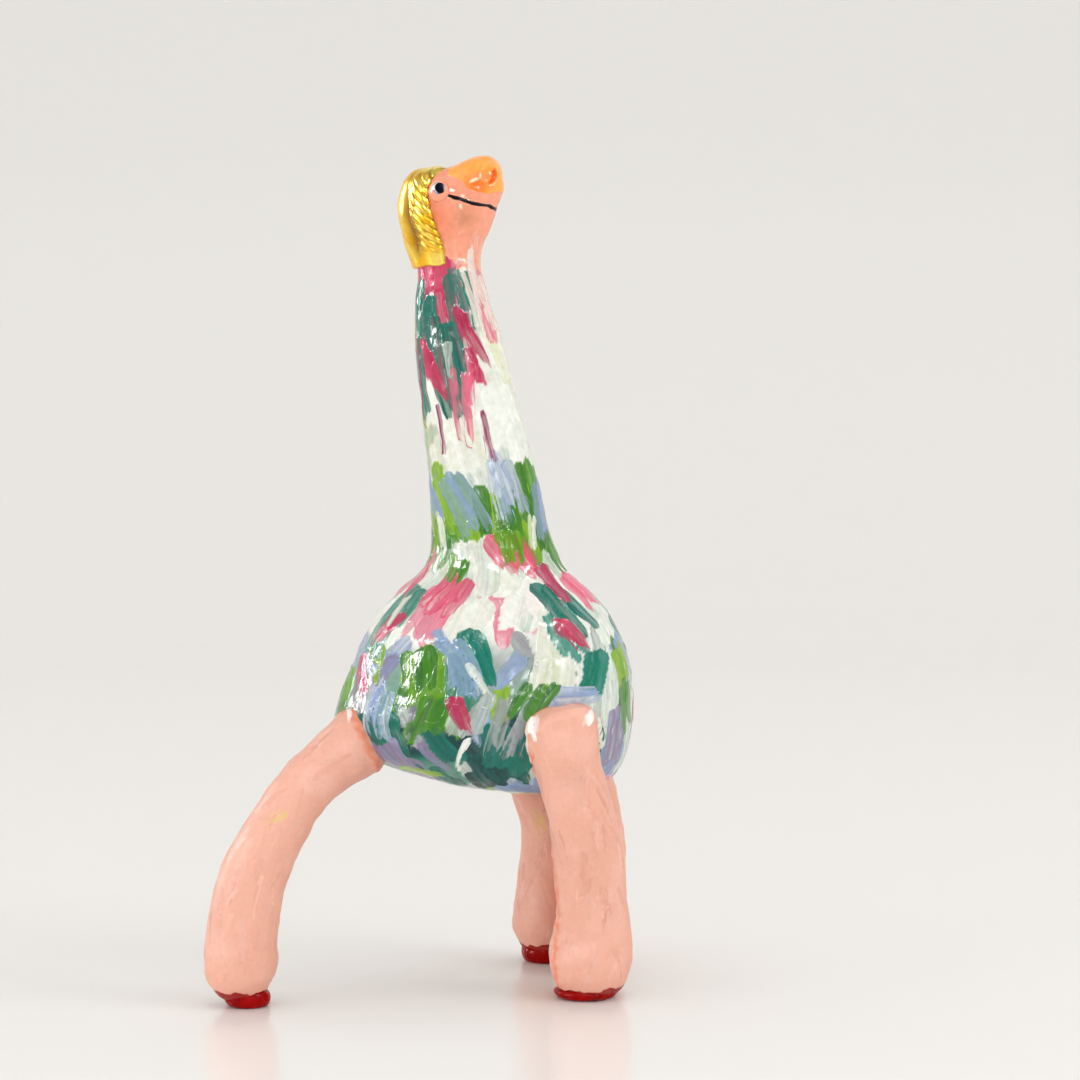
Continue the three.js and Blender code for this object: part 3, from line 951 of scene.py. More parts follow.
class Face:
    """The snout, mouth and nostrils, drawn on the head's side view so that both cheeks match."""

    MOUTH = ((8.1, 209.2), (10.7, 208.4), (15.3, 207.0), (18.7, 206.5), (20.6, 205.6))
    MOUTH_HALF = 0.44
    SNOUT = ((8.1, 214.2), (11.5, 213.4), (13.1, 211.4), (15.9, 210.1), (18.7, 209.8), (23.0, 210.0))
    NOSTRIL = (18.75, 214.6)
    NOSTRIL_RADIUS = 1.8
    NOSTRIL_TALL = 1.25
    NOSTRIL_DEPTH = 1.1

    # The rim of a nostril: height in millimetres, then place and width as shares of the nostril's radius.
    RIM, RIM_AT, RIM_WIDE = 0.6, 1.25, 0.2
    DISH = (0.7, 1.0)

    # The face's lower border on the neck: millimetres that it rises for each millimetre back, the x where its
    # height is read, and the heights between which the face fades in.
    CHIN_SLOPE, CHIN_X, CHIN = 0.25, 8.0, (188.5, 193.5)

    # Soft patches in the side view: x, z and size in millimetres.
    CHEEK = (3.5, 203.0, 5.5)
    # The umber patch at the jaw is painted shade.
    JAW = (12.6, 203.3, 2.9)
    MUZZLE = (15.6, 211.8, 3.2)
    BESIDE_NOSTRIL = (19.3, 214.3, 1.4)

    def __init__(self, rings: Array) -> None:
        """Takes the lump's rings and works out where the face is."""
        self.rings = rings
        self.x, self.z = rings[..., 0], rings[..., 2]
        wave = 1.5 * ripple(rings, 5.0, 21)
        self.mask = smooth(self.z + self.CHIN_SLOPE * (self.x - self.CHIN_X) + wave, *self.CHIN)
        self.blush = np.clip(self.spot(*self.CHEEK) + 0.12 * ripple(rings, 7.0, 22), 0.0, 1.0)
        # Painted shade in umber on the jaw, below the mouth.
        self.jaw_shade = 0.75 * self.spot(*self.JAW)
        self.inside = self.mask > 0.5

    def spot(self, x: float, z: float, size: float) -> Array:
        """A soft round patch in the side view: 1 in the middle, falling off as a bell curve of this size."""
        return np.exp(-(((self.x - x) ** 2 + (self.z - z) ** 2) / size**2))

    def along_line(self, line: tuple) -> tuple[Array, Array]:
        """Distance in the side view from a broken line, and height above it, at every point."""
        corner = np.array(line)
        place = np.stack([self.x, self.z], -1)[..., None, :]
        step = np.diff(corner, axis=0)
        share = np.clip(((place - corner[:-1]) * step).sum(-1) / (step**2).sum(-1), 0.0, 1.0)
        gap = np.linalg.norm(place - corner[:-1] - share[..., None] * step, axis=-1).min(-1)
        above = self.z - np.interp(self.x, corner[:, 0], corner[:, 1])
        return gap, above

    def nostril(self) -> Array:
        """Distance from the middle of the nostril in the side view, with its height shrunk to its width."""
        return np.hypot(self.x - self.NOSTRIL[0], (self.z - self.NOSTRIL[1]) / self.NOSTRIL_TALL)

    def paint(self, brush: Brushwork) -> None:
        """Lays the orange snout with its deeper spots, the rust crescent of painted shade inside each
        nostril, and the black mouth.
        """
        _, above = self.along_line(self.SNOUT)
        start = (self.x - self.SNOUT[0][0]) * 0.8
        snout = np.minimum(above, start) + 0.3 * ripple(self.rings, 4.0, 23)
        deep = np.maximum(self.spot(*self.MUZZLE), 0.6 * self.spot(*self.BESIDE_NOSTRIL))[..., None]
        orange = Paint.ORANGE.rgb + deep * (Paint.AMBER.rgb - Paint.ORANGE.rgb)
        snout = np.where(self.inside, snout, brush.FAR_OUT)
        brush.area(3, snout, orange.reshape(-1, 3), Paint.PEACH, share=0.3)
        # Painted shade: a rust crescent inside each nostril's dish, on the side towards the tip of the snout.
        nostril_shade = 0.3 - np.abs(self.nostril() - 0.9 * self.NOSTRIL_RADIUS)
        ahead = 0.9 * (self.x - self.NOSTRIL[0]) - 0.35 * (self.z - self.NOSTRIL[1])
        nostril_shade = np.minimum(nostril_shade, 0.7 * (ahead - 0.6))
        brush.area(4, np.where(self.inside, nostril_shade, brush.FAR_OUT), Paint.RUST.rgb, Paint.AMBER)
        gap, _ = self.along_line(self.MOUTH)
        mouth = self.MOUTH_HALF * (1.0 + 0.35 * ripple(self.rings, 2.6, 24)) - gap
        sides = np.abs(self.rings[..., 1]) > 0.6
        brush.area(4, np.where(self.inside & sides, mouth, brush.FAR_OUT), Paint.BLACK.rgb, Paint.BLACK)

    def relief(self) -> Array:
        """The dished nostrils with their raised rims, and the shallow crease of the mouth."""
        flank = smooth(np.abs(self.rings[..., 1]), 2.0, 3.5) * self.inside
        reach = self.nostril() / self.NOSTRIL_RADIUS
        rim = self.RIM * np.exp(-(((reach - self.RIM_AT) / self.RIM_WIDE) ** 2))
        dish = rim - self.NOSTRIL_DEPTH * (1.0 - smooth(reach, *self.DISH))
        gap, _ = self.along_line(self.MOUTH)
        crease = -0.15 * np.exp(-((gap / 0.4) ** 2)) * self.inside
        knead = 0.12 * ripple(self.rings, 5.0, 25) * self.mask
        return dish * flank + crease + knead


@dataclass(frozen=True)
class Passage:
    """A broad area of the painting, filled with loose groups of strokes.

    Attributes:
        layer: Which coat the strokes belong to.
        low: Height of the area's lower border in millimetres.
        high: Height of its upper border in millimetres.
        span: Degrees from the chest, 0, to the back, 180, that it covers on both flanks.
        paints: Pairs of a paint and the paint of its streaks.
        groups: How many groups of strokes there are.
        strokes: How many strokes a group has.
        length: Length of a stroke in millimetres.
        breadth: Breadth of a stroke in millimetres.
        slant: Degrees that a group may lean to either side.
        lean: Degrees from straight down that all groups lean.
        bend: Degrees that a stroke may turn to either side.
        taper: Share of its breadth that a stroke loses by its end.
        dry: How dry the brush is.
    """

    layer: int
    low: float
    high: float
    span: tuple[float, float]
    paints: tuple[tuple[Paint, Paint], ...]
    groups: int
    strokes: int
    length: float
    breadth: float
    slant: float = 12.0
    lean: float = 0.0
    bend: float = 12.0
    taper: float = 0.2
    dry: float = 0.12

    # Steps that spread places evenly over a square: powers of the root of x^3 = x + 1.
    EVEN = (0.7549, 0.5698)
    OVERLAP = 0.72
    SCATTER = 0.25

    def daubs(self, rng: np.random.Generator) -> list[Daub]:
        """Spreads the groups evenly over the area, each with its own paint, size and lean.

        Args:
            rng: Source of what is left to chance.

        Returns:
            One daub for each group.
        """
        found = []
        start = rng.uniform(size=2)
        for k in range(self.groups):
            up, around = (start + k * np.array(self.EVEN)) % 1.0
            signed = 2.0 * around - 1.0
            away = self.span[0] + abs(signed) * (self.span[1] - self.span[0])
            paint, tint = self.paints[rng.integers(len(self.paints))]
            size = rng.uniform(0.8, 1.2, 2)
            side = math.copysign(1.0, signed)
            found.append(
                Daub(
                    paint,
                    tint,
                    self.layer,
                    self.low + up * (self.high - self.low),
                    90.0 - side * away,
                    self.strokes,
                    self.OVERLAP * self.strokes * self.breadth,
                    self.SCATTER * self.length,
                    self.length * size[0],
                    self.breadth * size[1],
                    side * self.lean + rng.uniform(-self.slant, self.slant),
                    rng.uniform(-self.bend, self.bend),
                    self.taper,
                    self.dry * rng.uniform(0.5, 1.5),
                )
            )
        return found


def pairs(*paints: Paint) -> tuple[tuple[Paint, Paint], ...]:
    """Every paint with the next one as its streaks, and the last one with the first."""
    return tuple(zip(paints, paints[1:] + paints[:1]))


ALL_ROUND = (0.0, 180.0)
CHEST = (0.0, 62.0)
FLANKS = (62.0, 162.0)
NAPE = (160.0, 180.0)

REDS = ((Paint.CRIMSON, Paint.ROSE), (Paint.CRIMSON, Paint.WINE), (Paint.CRIMSON, Paint.PINK))
TEALS = ((Paint.TEAL, Paint.TEAL), (Paint.TEAL, Paint.DEEP_TEAL), (Paint.TEAL, Paint.SAGE))
GREENS = ((Paint.GRASS, Paint.LIME), (Paint.GRASS, Paint.DEEP_TEAL), (Paint.LIME, Paint.GRASS))
WHITES = ((Paint.WHITE, Paint.CREAM), (Paint.WHITE, Paint.WHITE), (Paint.WHITE, Paint.SAGE))
PINKS = ((Paint.ROSE, Paint.PINK), (Paint.ROSE, Paint.CRIMSON), (Paint.PINK, Paint.ROSE))
BLUES = ((Paint.LAVENDER, Paint.WHITE), (Paint.LAVENDER, Paint.GREY), (Paint.LAVENDER, Paint.SAGE))
DARKS = ((Paint.DEEP_TEAL, Paint.TEAL), (Paint.TEAL, Paint.DEEP_TEAL), (Paint.DEEP_TEAL, Paint.BLACK))
GREYS = ((Paint.GREY, Paint.MAUVE), (Paint.MAUVE, Paint.LAVENDER), (Paint.GREY, Paint.WHITE))
STRAWS = pairs(Paint.STRAW, Paint.WHITE, Paint.CREAM)
NECK_MARKS = PINKS + REDS + TEALS[:1]
NECK_LINES = ((Paint.WINE, Paint.MAUVE), (Paint.SAGE, Paint.WHITE))

# The painting, coat by coat: loose underpainting, then strokes for each area and finer ones over them.
PAINTING = (
    Passage(0, 52, 74, ALL_ROUND, DARKS + GREYS, 110, 1, 11, 5, slant=40, bend=30, dry=0.3),
    Passage(0, 72, 95, ALL_ROUND, GREENS + BLUES + GREYS, 120, 1, 11, 5, slant=40, bend=30, dry=0.3),
    Passage(0, 95, 114, ALL_ROUND, WHITES + PINKS[2:], 90, 1, 12, 5, slant=40, bend=30, dry=0.3),
    Passage(0, 114, 134, ALL_ROUND, GREENS + BLUES[2:], 60, 1, 11, 4.5, slant=40, bend=30, dry=0.3),
    Passage(0, 134, 172, ALL_ROUND, WHITES, 60, 1, 18, 4.5, bend=20, dry=0.3),
    Passage(0, 168, 188, ALL_ROUND, WHITES[:1], 40, 1, 13, 4, bend=20, dry=0.3),
    Passage(1, 132, 188, NAPE, pairs(Paint.YELLOW, Paint.LIME, Paint.GRASS), 7, 2, 28, 5, slant=4),
    Passage(1, 154, 190, FLANKS, REDS, 16, 3, 15, 4.8, slant=10, dry=0.06),
    Passage(1, 136, 176, CHEST, WHITES[:2], 9, 3, 26, 4.6, slant=4, lean=6),
    Passage(1, 132, 152, FLANKS, ((Paint.CREAM, Paint.SAGE), *WHITES), 11, 3, 18, 4.4, slant=4, lean=4),
    Passage(1, 116, 132, ALL_ROUND, GREENS, 16, 3, 17, 4.6, slant=12),
    Passage(1, 99, 113, ALL_ROUND, WHITES, 16, 3, 15, 6, slant=25),
    Passage(1, 74, 90, ALL_ROUND, GREENS, 18, 4, 13, 4.8, slant=25, bend=30),
    Passage(1, 57, 72, ALL_ROUND, DARKS, 20, 4, 15, 5, slant=14),
    Passage(2, 180, 195, CHEST, pairs(Paint.PEACH, Paint.SKIN_PALE), 7, 3, 14, 2.6, slant=4, lean=4, dry=0.3),
    Passage(2, 140, 182, CHEST, STRAWS, 6, 2, 24, 2.6, slant=4, lean=6, dry=0.3),
    Passage(2, 176, 184, (20, 40), PINKS[2:], 2, 2, 18, 3, slant=3, lean=4, dry=0.2),
    Passage(2, 156, 188, FLANKS, TEALS + REDS[:1], 9, 3, 17, 3.8, slant=10, bend=20, taper=0.4, dry=0.25),
    Passage(2, 72, 90, ALL_ROUND, GREYS, 13, 3, 12, 4.2, slant=45, bend=30, dry=0.45),
    Passage(2, 66, 100, CHEST, WHITES, 6, 4, 24, 5, slant=8, lean=-6, bend=25),
    Passage(2, 84, 108, ALL_ROUND, TEALS, 15, 3, 15, 4.2, slant=35, bend=30, taper=0.4, dry=0.22),
    Passage(3, 152, 186, FLANKS, NECK_MARKS, 8, 2, 15, 3.4, slant=16, bend=25, taper=0.4, dry=0.3),
    Passage(3, 176, 192, CHEST, ((Paint.WHITE, Paint.SKIN_PALE),), 7, 3, 15, 1.2, slant=5, lean=4, dry=0.5),
    Passage(3, 102, 113, ALL_ROUND, PINKS, 9, 3, 15, 4.2, slant=35, bend=30, taper=0.4, dry=0.28),
    Passage(3, 124, 137, ALL_ROUND, BLUES, 8, 3, 15, 3.6, slant=80, bend=50, dry=0.35),
    Passage(3, 56, 78, ALL_ROUND, BLUES + GREYS, 15, 4, 16, 3, slant=16, bend=30, dry=0.6),
    Passage(3, 78, 92, ALL_ROUND, BLUES, 8, 4, 17, 3, slant=90, bend=75, dry=0.4),
    Passage(3, 54, 60, ALL_ROUND, PINKS + BLUES + GREENS, 14, 3, 12, 3, slant=8, lean=84, dry=0.2),
    Passage(4, 74, 88, ALL_ROUND, GREENS, 8, 3, 11, 4, slant=30, bend=50, taper=0.4),
    Passage(4, 74, 116, ALL_ROUND, REDS[:2], 11, 2, 11, 3, slant=40, bend=30, taper=0.45, dry=0.3),
    Passage(4, 112, 118, ALL_ROUND, GREENS, 7, 3, 8, 2.6, slant=15, taper=0.6),
    Passage(4, 64, 134, ALL_ROUND, WHITES, 14, 3, 9, 1.2, slant=35, bend=20, dry=0.6),
    Passage(4, 140, 176, FLANKS, NECK_LINES, 9, 2, 11, 1.1, slant=5, dry=0.55),
)


def painting(seed: int) -> list[Daub]:
    """All the daubs of the painting, in the order in which they are laid."""
    rng = np.random.default_rng(seed)
    return [daub for passage in PAINTING for daub in passage.daubs(rng)]


@dataclass
class Hair:
    """The gold hair: a sheet round the back of the head, combed on its sides.

    A point at s from nape to crown and w from -1 to 1 lies at angle pi + w wrap on the head's ring, with the
    hair's depth added to the ring. The depth has a smooth roll along the middle, slanting comb grooves beside
    it, and falls off round the edge.
    """

    lump: Lump
    rows: int = 190
    columns: int = 161
    pitch: float = 2.3
    groove: float = 0.55
    comb_slope: float = 0.6
    roll: float = 0.4
    furrow: float = 0.7
    sunk: float = -0.7
    hem: float = 1.0
    ragged: float = 0.06

    # Rough radii of the head in millimetres, for measures round it at the hem and along the combing.
    HEM_RADIUS, COMB_RADIUS = 12.0, 9.5

    # Place by the lump's stations, wrap in degrees, depth of clay in millimetres, lean of the hem in degrees.
    STATIONS = np.array(
        [
            (14.15, 86, 1.3, 15),
            (14.8, 85, 1.9, 8),
            (15.8, 76, 2.1, 2),
            (17.0, 59, 2.1, 0),
            (18.0, 47, 2.0, 0),
            (18.8, 31, 1.6, 0),
            (19.4, 16, 1.0, 0),
        ]
    )

    def build(self) -> bpy.types.Object:
        """Shapes the hair, gives it its finish and returns it."""
        s = np.linspace(0.0, 1.0, self.rows)[:, None]
        w = np.linspace(-1.0, 1.0, self.columns)[None, :]
        at, wrap, thick, lean = np.moveaxis(spline(self.STATIONS, s), -1, 0)
        round_it = np.stack([w, 0.0 * w, 0.0 * w], -1) * self.HEM_RADIUS
        ragged = self.ragged * ripple(round_it, 5.0, 34) * (1.0 - smooth(s, 0.0, 0.2))
        t = self.lump.station(at + ragged)
        lean = lean + 0.0 * w
        bare = self.lump.points(t, math.pi + w * np.radians(wrap), lean=lean)
        steps = np.linalg.norm(np.diff(bare, axis=0), axis=-1).mean(1)
        along = np.concatenate([[0.0], np.cumsum(steps)])[:, None]
        valley, crease = self.combing(s, w, along, wrap, bare)
        edge = np.clip(1.0 - np.abs(w) ** 9, 0.0, 1.0) ** 0.5
        foot = (1.0 - np.clip(1.0 - along / self.hem, 0.0, 1.0) ** 3) ** 0.5
        brow = np.clip((along[-1] - along) / self.hem, 0.0, 1.0) ** 0.5
        plump = thick * (1.0 + 0.14 * np.cos(math.pi * np.clip(w / self.roll, -1.0, 1.0)))
        plump = plump + 0.1 * ripple(bare, 6.0, 32)
        depth = (plump - self.groove * valley - self.furrow * crease) * edge * foot * brow
        angle = math.pi + w * np.radians(wrap) * (1.0 - 0.04 * valley)
        outer = self.lump.points(t, angle, swell=depth, lean=lean)
        inner = self.lump.points(t, angle, swell=self.sunk + 0.0 * depth, lean=lean)
        # Painted shade: brown in the comb grooves, in the furrow beside the roll, and round the edges and the
        # hem.
        hollow_shade = np.clip(0.7 * valley + 0.8 * crease + 0.35 * (1.0 - edge * foot), 0.0, 1.0)
        # Painted light: paler gold on the crown and on the lower corners of the plate, where light falls.
        crown = smooth(s, 0.55, 0.85) + 0.0 * w
        corners = smooth(np.abs(w), 0.5, 0.9) * (1.0 - smooth(s, 0.06, 0.2))
        painted_light = np.maximum(crown, corners)
        looks = {"hollow_shade": hollow_shade[:, ::-1], "painted_light": painted_light[:, ::-1]}
        piece = shell("gold_hair", outer[:, ::-1], inner[:, ::-1], looks)
        dress(piece, GoldPaint().material(), "hair")
        return piece

    def combing(self, s: Array, w: Array, along: Array, wrap: Array, bare: Array) -> tuple[Array, Array]:
        """The comb's thin grooves and the furrow beside the roll, each from 0 to 1.

        A groove lies where the distance along the hair plus a share of the distance round it is a whole
        number of pitches, and the strands between grooves are round. Slow noise shifts the grooves and
        makes some of them fainter. There are none on the roll, nor on the smooth plate at the nape.
        """
        round_it = np.abs(w) * np.radians(wrap) * self.COMB_RADIUS
        shift = 0.2 * ripple(bare, 9.0, 31)
        phase = (along + self.comb_slope * round_it) / self.pitch + shift
        line = (1.0 - np.abs(np.sin(math.pi * phase))) ** 2
        strength = np.clip(0.85 + 0.35 * ripple(bare, 6.0, 33), 0.3, 1.0)
        combed = smooth(np.abs(w), self.roll + 0.08, self.roll + 0.25) * smooth(s, 0.1, 0.2)
        middle = self.roll + 0.08 + 0.04 * ripple(bare, 6.0, 35)
        crease = np.exp(-(((np.abs(w) - middle) / 0.14) ** 2)) * (1.0 - smooth(s, 0.35, 0.7))
        return line * strength * combed, crease * smooth(s, 0.06, 0.2)


@dataclass
class Eye:
    """A domed disc on a cheek, with a painted pupil and a white glint.

    Its rings follow a rounded profile: radius R sin a and height H cos a to the power 0.7, down to its root.
    """

    lump: Lump
    name: str
    side: int
    radius: float = 2.8
    proud: float = 1.15
    root: float = 1.6
    rows: int = 56
    sides: int = 96

    AT, ROUND = 17.55, 113.0
    COATS = 1
    FINISH = PaintedClay(
        "varnished_eye_paint", COATS, gloss=(0.1, 0.2), ridge=0.01, film=0.01, mottle=0.04, specular=0.34
    )
    SEED = 5
    DOME = 0.8

    # The pupil: millimetres above the disc's middle, turn in radians, and its shorter half over its longer.
    PUPIL_UP, PUPIL_TURN, PUPIL_SLIM = 0.72, 0.5, 0.86

    # The pupil's ovals: millimetres ahead of the disc's middle, radius, and paint.
    OVALS = ((0.18, 1.36, Paint.STEEL), (0.3, 1.26, Paint.WHITE), (0.6, 1.3, Paint.NAVY))

    def build(self, material: bpy.types.Material) -> bpy.types.Object:
        """Shapes the disc, paints it and returns it."""
        t = np.array(self.lump.station(self.AT))
        v = np.array(self.side * math.radians(self.ROUND))
        middle, fore, reach, spread = self.lump.ring(t)
        out = unit(math.cos(v) / reach * fore + math.sin(v) / spread * np.array([0.0, 1.0, 0.0]))
        ahead = unit(np.cross(np.array([0.0, 0.0, 1.0]), out)) * -self.side
        above = np.cross(out, ahead) * -self.side
        lift = np.linspace(0.0, 1.0, self.rows)[:, None]
        angle = np.clip(lift / self.DOME, 0.0, 1.0) * math.pi / 2
        size = self.radius * np.sin(angle) * (1.0 - 0.12 * smooth(lift, self.DOME, 1.0))
        height = self.proud * np.cos(angle) ** 0.7 - self.root * smooth(lift, 0.78, 1.0)
        turn = np.linspace(0.0, 2.0 * math.pi, self.sides, endpoint=False)[None, :]
        east, north = size * np.cos(turn), size * np.sin(turn)
        base = self.lump.points(t, v)
        rings = base + east[..., None] * ahead + north[..., None] * above + height[..., None] * out
        rings = rings + (0.06 * ripple(rings, 2.6, 41))[..., None] * out
        ground = ground_colour(rings.shape[:2], Paint.PEACH)
        # Painted highlight: the peach is paler on the disc's upper side towards the back.
        ground = blend(ground, Paint.SKIN_PALE, 0.6 * smooth(north - east, 0.5, 3.0))
        # Painted shade: blush on the steep side and the root, where the disc meets the head.
        ground = blend(ground, Paint.BLUSH, 0.5 * smooth(lift + 0.0 * turn, 0.6, 0.8))
        brush = Brushwork(self.lump, rings, ground, self.COATS, self.SEED)
        top = lift + 0.0 * turn < 0.75
        for depth, paint in self.pupil(east, north, 0.05 * ripple(rings, 1.3, 42)):
            brush.area(0, np.where(top, depth, brush.FAR_OUT), paint.rgb, paint)
        order = slice(None, None, -1)
        looks = {k: val[order] for k, val in brush.looks().items()}
        piece = loft(f"eye_disc_{self.name}", rings[order], looks)
        dress(piece, material, f"eye_{self.name}")
        return piece

    def pupil(self, east: Array, north: Array, wobble: Array) -> tuple[tuple[Array, Paint], ...]:
        """Three ovals over one another, each further forward: a blue outline, a white rim, the dark pupil."""
        ovals = []
        cosine, sine = math.cos(self.PUPIL_TURN), math.sin(self.PUPIL_TURN)
        for ahead, radius, paint in self.OVALS:
            x, y = east - ahead, north - self.PUPIL_UP
            size = np.hypot(x * cosine + y * sine, (y * cosine - x * sine) * self.PUPIL_SLIM)
            ovals.append((radius - size + wobble, paint))
        return tuple(ovals)


@dataclass
class Leg(Skin):
    """A rolled sausage of clay from the ground up into the body.

    Its middle line is a curve through the stations, and each ring is a circle square to that line.
    """

    name: str
    lump: Lump
    stations: tuple[tuple[float, float, float, float], ...]
    seed: int
    daubs: tuple[Daub, ...] = ()
    rows: int = 170
    sides: int = 84

    COATS = 3
    COAT_THICKNESS = (0.0, 0.03, 0.28)
    FINISH = PaintedClay(
        "hand_smoothed_pink_clay",
        COATS,
        gloss=(0.34, 0.5),
        ridge=0.05,
        film=0.0,
        grain=1.2,
        pits=0.13,
        mottle=0.035,
        specular=0.15,
    )
    TIP, EVEN = 0.012, (0.0, 1.0, 1.0)
    FLARE = 0.6
    WASHES = 150
    WASH_PAINTS = (Paint.SKIN_PALE, Paint.SKIN_DEEP, Paint.SKIN_PALE, Paint.SKIN, Paint.SKIN_DEEP)

    # The hand's unevenness: height and wavelength in millimetres, and what is added to the leg's seed.
    KNEADING = ((0.32, 13.0, 0), (0.13, 5.0, 1), (0.06, 2.4, 5))

    def points(self, t: Array, v: Array) -> Array:
        """Points of the circles: middle + r (cos v across the line in X and Z + sin v across it in Y)."""
        table = np.array(self.stations)
        step = 1e-3
        middle = spline(table, t)
        before, after = spline(table, np.maximum(t - step, 0.0)), spline(table, np.minimum(t + step, 1.0))
        ahead = unit((after - before)[..., :3])
        aside = unit(np.cross(np.array([0.0, 1.0, 0.0]), ahead))
        behind = np.cross(ahead, aside)
        round_it = np.cos(v)[..., None] * aside + np.sin(v)[..., None] * behind
        return middle[..., :3] + middle[..., 3:] * round_it

    def build(self, material: bpy.types.Material) -> bpy.types.Object:
        """Shapes the leg, paints it and returns it."""
        rings = self.rings(self.rows, self.sides, self.TIP, self.EVEN)
        normals = ring_normals(rings)
        gap = self.lump.gap(rings)
        ground = ground_colour(rings.shape[:2], Paint.SKIN)
        ground = blend(ground, Paint.SKIN_PALE, 0.6 * smooth(ripple(rings, 12.0, self.seed + 2), -0.2, 0.9))
        ground = blend(ground, Paint.SKIN_DEEP, 0.25 * smooth(ripple(rings, 6.0, self.seed + 3), 0.3, 1.0))
        rim = gap - 0.5 + 0.6 * ripple(rings, 2.4, self.seed + 9)
        ground = blend(ground, Paint.BLUSH, 0.85 * np.exp(-((rim / 0.8) ** 2)))
        brush = Brushwork(self, rings, ground, self.COATS, self.seed)
        brush.daub(self.washes())
        brush.daub(self.daubs)
        hem = SOLES[self.name][3] + 0.1 - rings[..., 2] + 0.6 * ripple(rings, 4.0, self.seed + 4)
        hem = hem + 0.4 * ripple(rings, 2.0, self.seed + 8)
        brush.area(1, hem, Paint.RED.rgb, Paint.RED, dry=0.1)
        torn = 1.0 + 0.4 * ripple(rings, 3.0, self.seed + 6)
        press = self.FLARE * torn * np.exp(-((gap / 2.0) ** 2))
        knead = sum(rise * ripple(rings, wide, self.seed + more) for rise, wide, more in self.KNEADING)
        rise = press + knead + brush.relief(self.COAT_THICKNESS)
        shaped = rings + rise[..., None] * normals
        piece = loft(f"leg_roll_{self.name}", shaped, brush.looks())
        dress(piece, material, f"leg_{self.name}")
        return piece

    def washes(self) -> list[Daub]:
        """Short dry strokes of paler and deeper pink down the leg, every third one broader."""
        rng = np.random.default_rng(self.seed)
        top = max(s[2] for s in self.stations)
        found = []
        for k in range(self.WASHES):
            paint = self.WASH_PAINTS[k % len(self.WASH_PAINTS)]
            height, bearing = rng.uniform(6.0, top - 8.0), rng.uniform(-180.0, 180.0)
            length = rng.uniform(3.0, 12.0)
            breadth = rng.uniform(0.9, 2.0) if k % 3 == 0 else rng.uniform(0.5, 1.0)
            mark = Daub(paint, Paint.SKIN, 0, height, bearing, length=length, breadth=breadth)
            found.append(replace(mark, slant=rng.uniform(-25.0, 25.0), dry=rng.uniform(0.55, 0.9)))
        return found


@dataclass
class Sole:
    """A red pad pressed under a foot: a flat underside, a half-round rim and an uneven top."""

    name: str
    x: float
    y: float
    radius: float
    thick: float
    seed: int
    rows: int = 40
    sides: int = 96

    FINISH = PaintedClay(
        "glossy_red_enamel", 0, gloss=(0.2, 0.34), pits=0.16, grain=1.6, mottle=0.15, specular=0.06
    )

    # Share of the radius that is flat, and share of the rings that lie on the underside and on the top.
    FLAT, FACE = 0.72, 0.2

    def build(self, material: bpy.types.Material) -> bpy.types.Object:
        """Shapes the pad, gives it its finish and returns it."""
        lift = np.linspace(0.0, 1.0, self.rows)[:, None]
        angle = math.pi * (np.clip((lift - self.FACE) / (1.0 - 2 * self.FACE), 0.0, 1.0) - 0.5)
        inner = self.radius * self.FLAT
        under, over = (np.clip(share / self.FACE, 0.02, 1.0) for share in (lift, 1.0 - lift))
        size = inner * under * over
        size = size + (self.radius - inner) * np.cos(angle)
        turn = np.linspace(0.0, 2.0 * math.pi, self.sides, endpoint=False)[None, :]
        height = self.thick / 2 * (1.0 + np.sin(angle)) + 0.0 * turn
        spot = np.stack([self.x + size * np.cos(turn), self.y + size * np.sin(turn), height], -1)
        wave = ripple(spot * np.array([1.0, 1.0, 0.3]), 6.0, self.seed)
        bulge = 1.0 + 0.06 * wave * smooth(height, 0.1, 1.2)
        rings = np.stack(
            [
                self.x + size * bulge * np.cos(turn),
                self.y + size * bulge * np.sin(turn),
                height + 0.35 * smooth(height, 0.4 * self.thick, self.thick) * wave,
            ],
            -1,
        )
        dark = 0.5 * smooth(wave, -0.2, 0.8)
        ground = blend(ground_colour(rings.shape[:2], Paint.RED), Paint.RED_DARK, dark)
        piece = loft(f"sole_pad_{self.name}", rings, {"ground": ground})
        dress(piece, material, f"sole_{self.name}")
        return piece


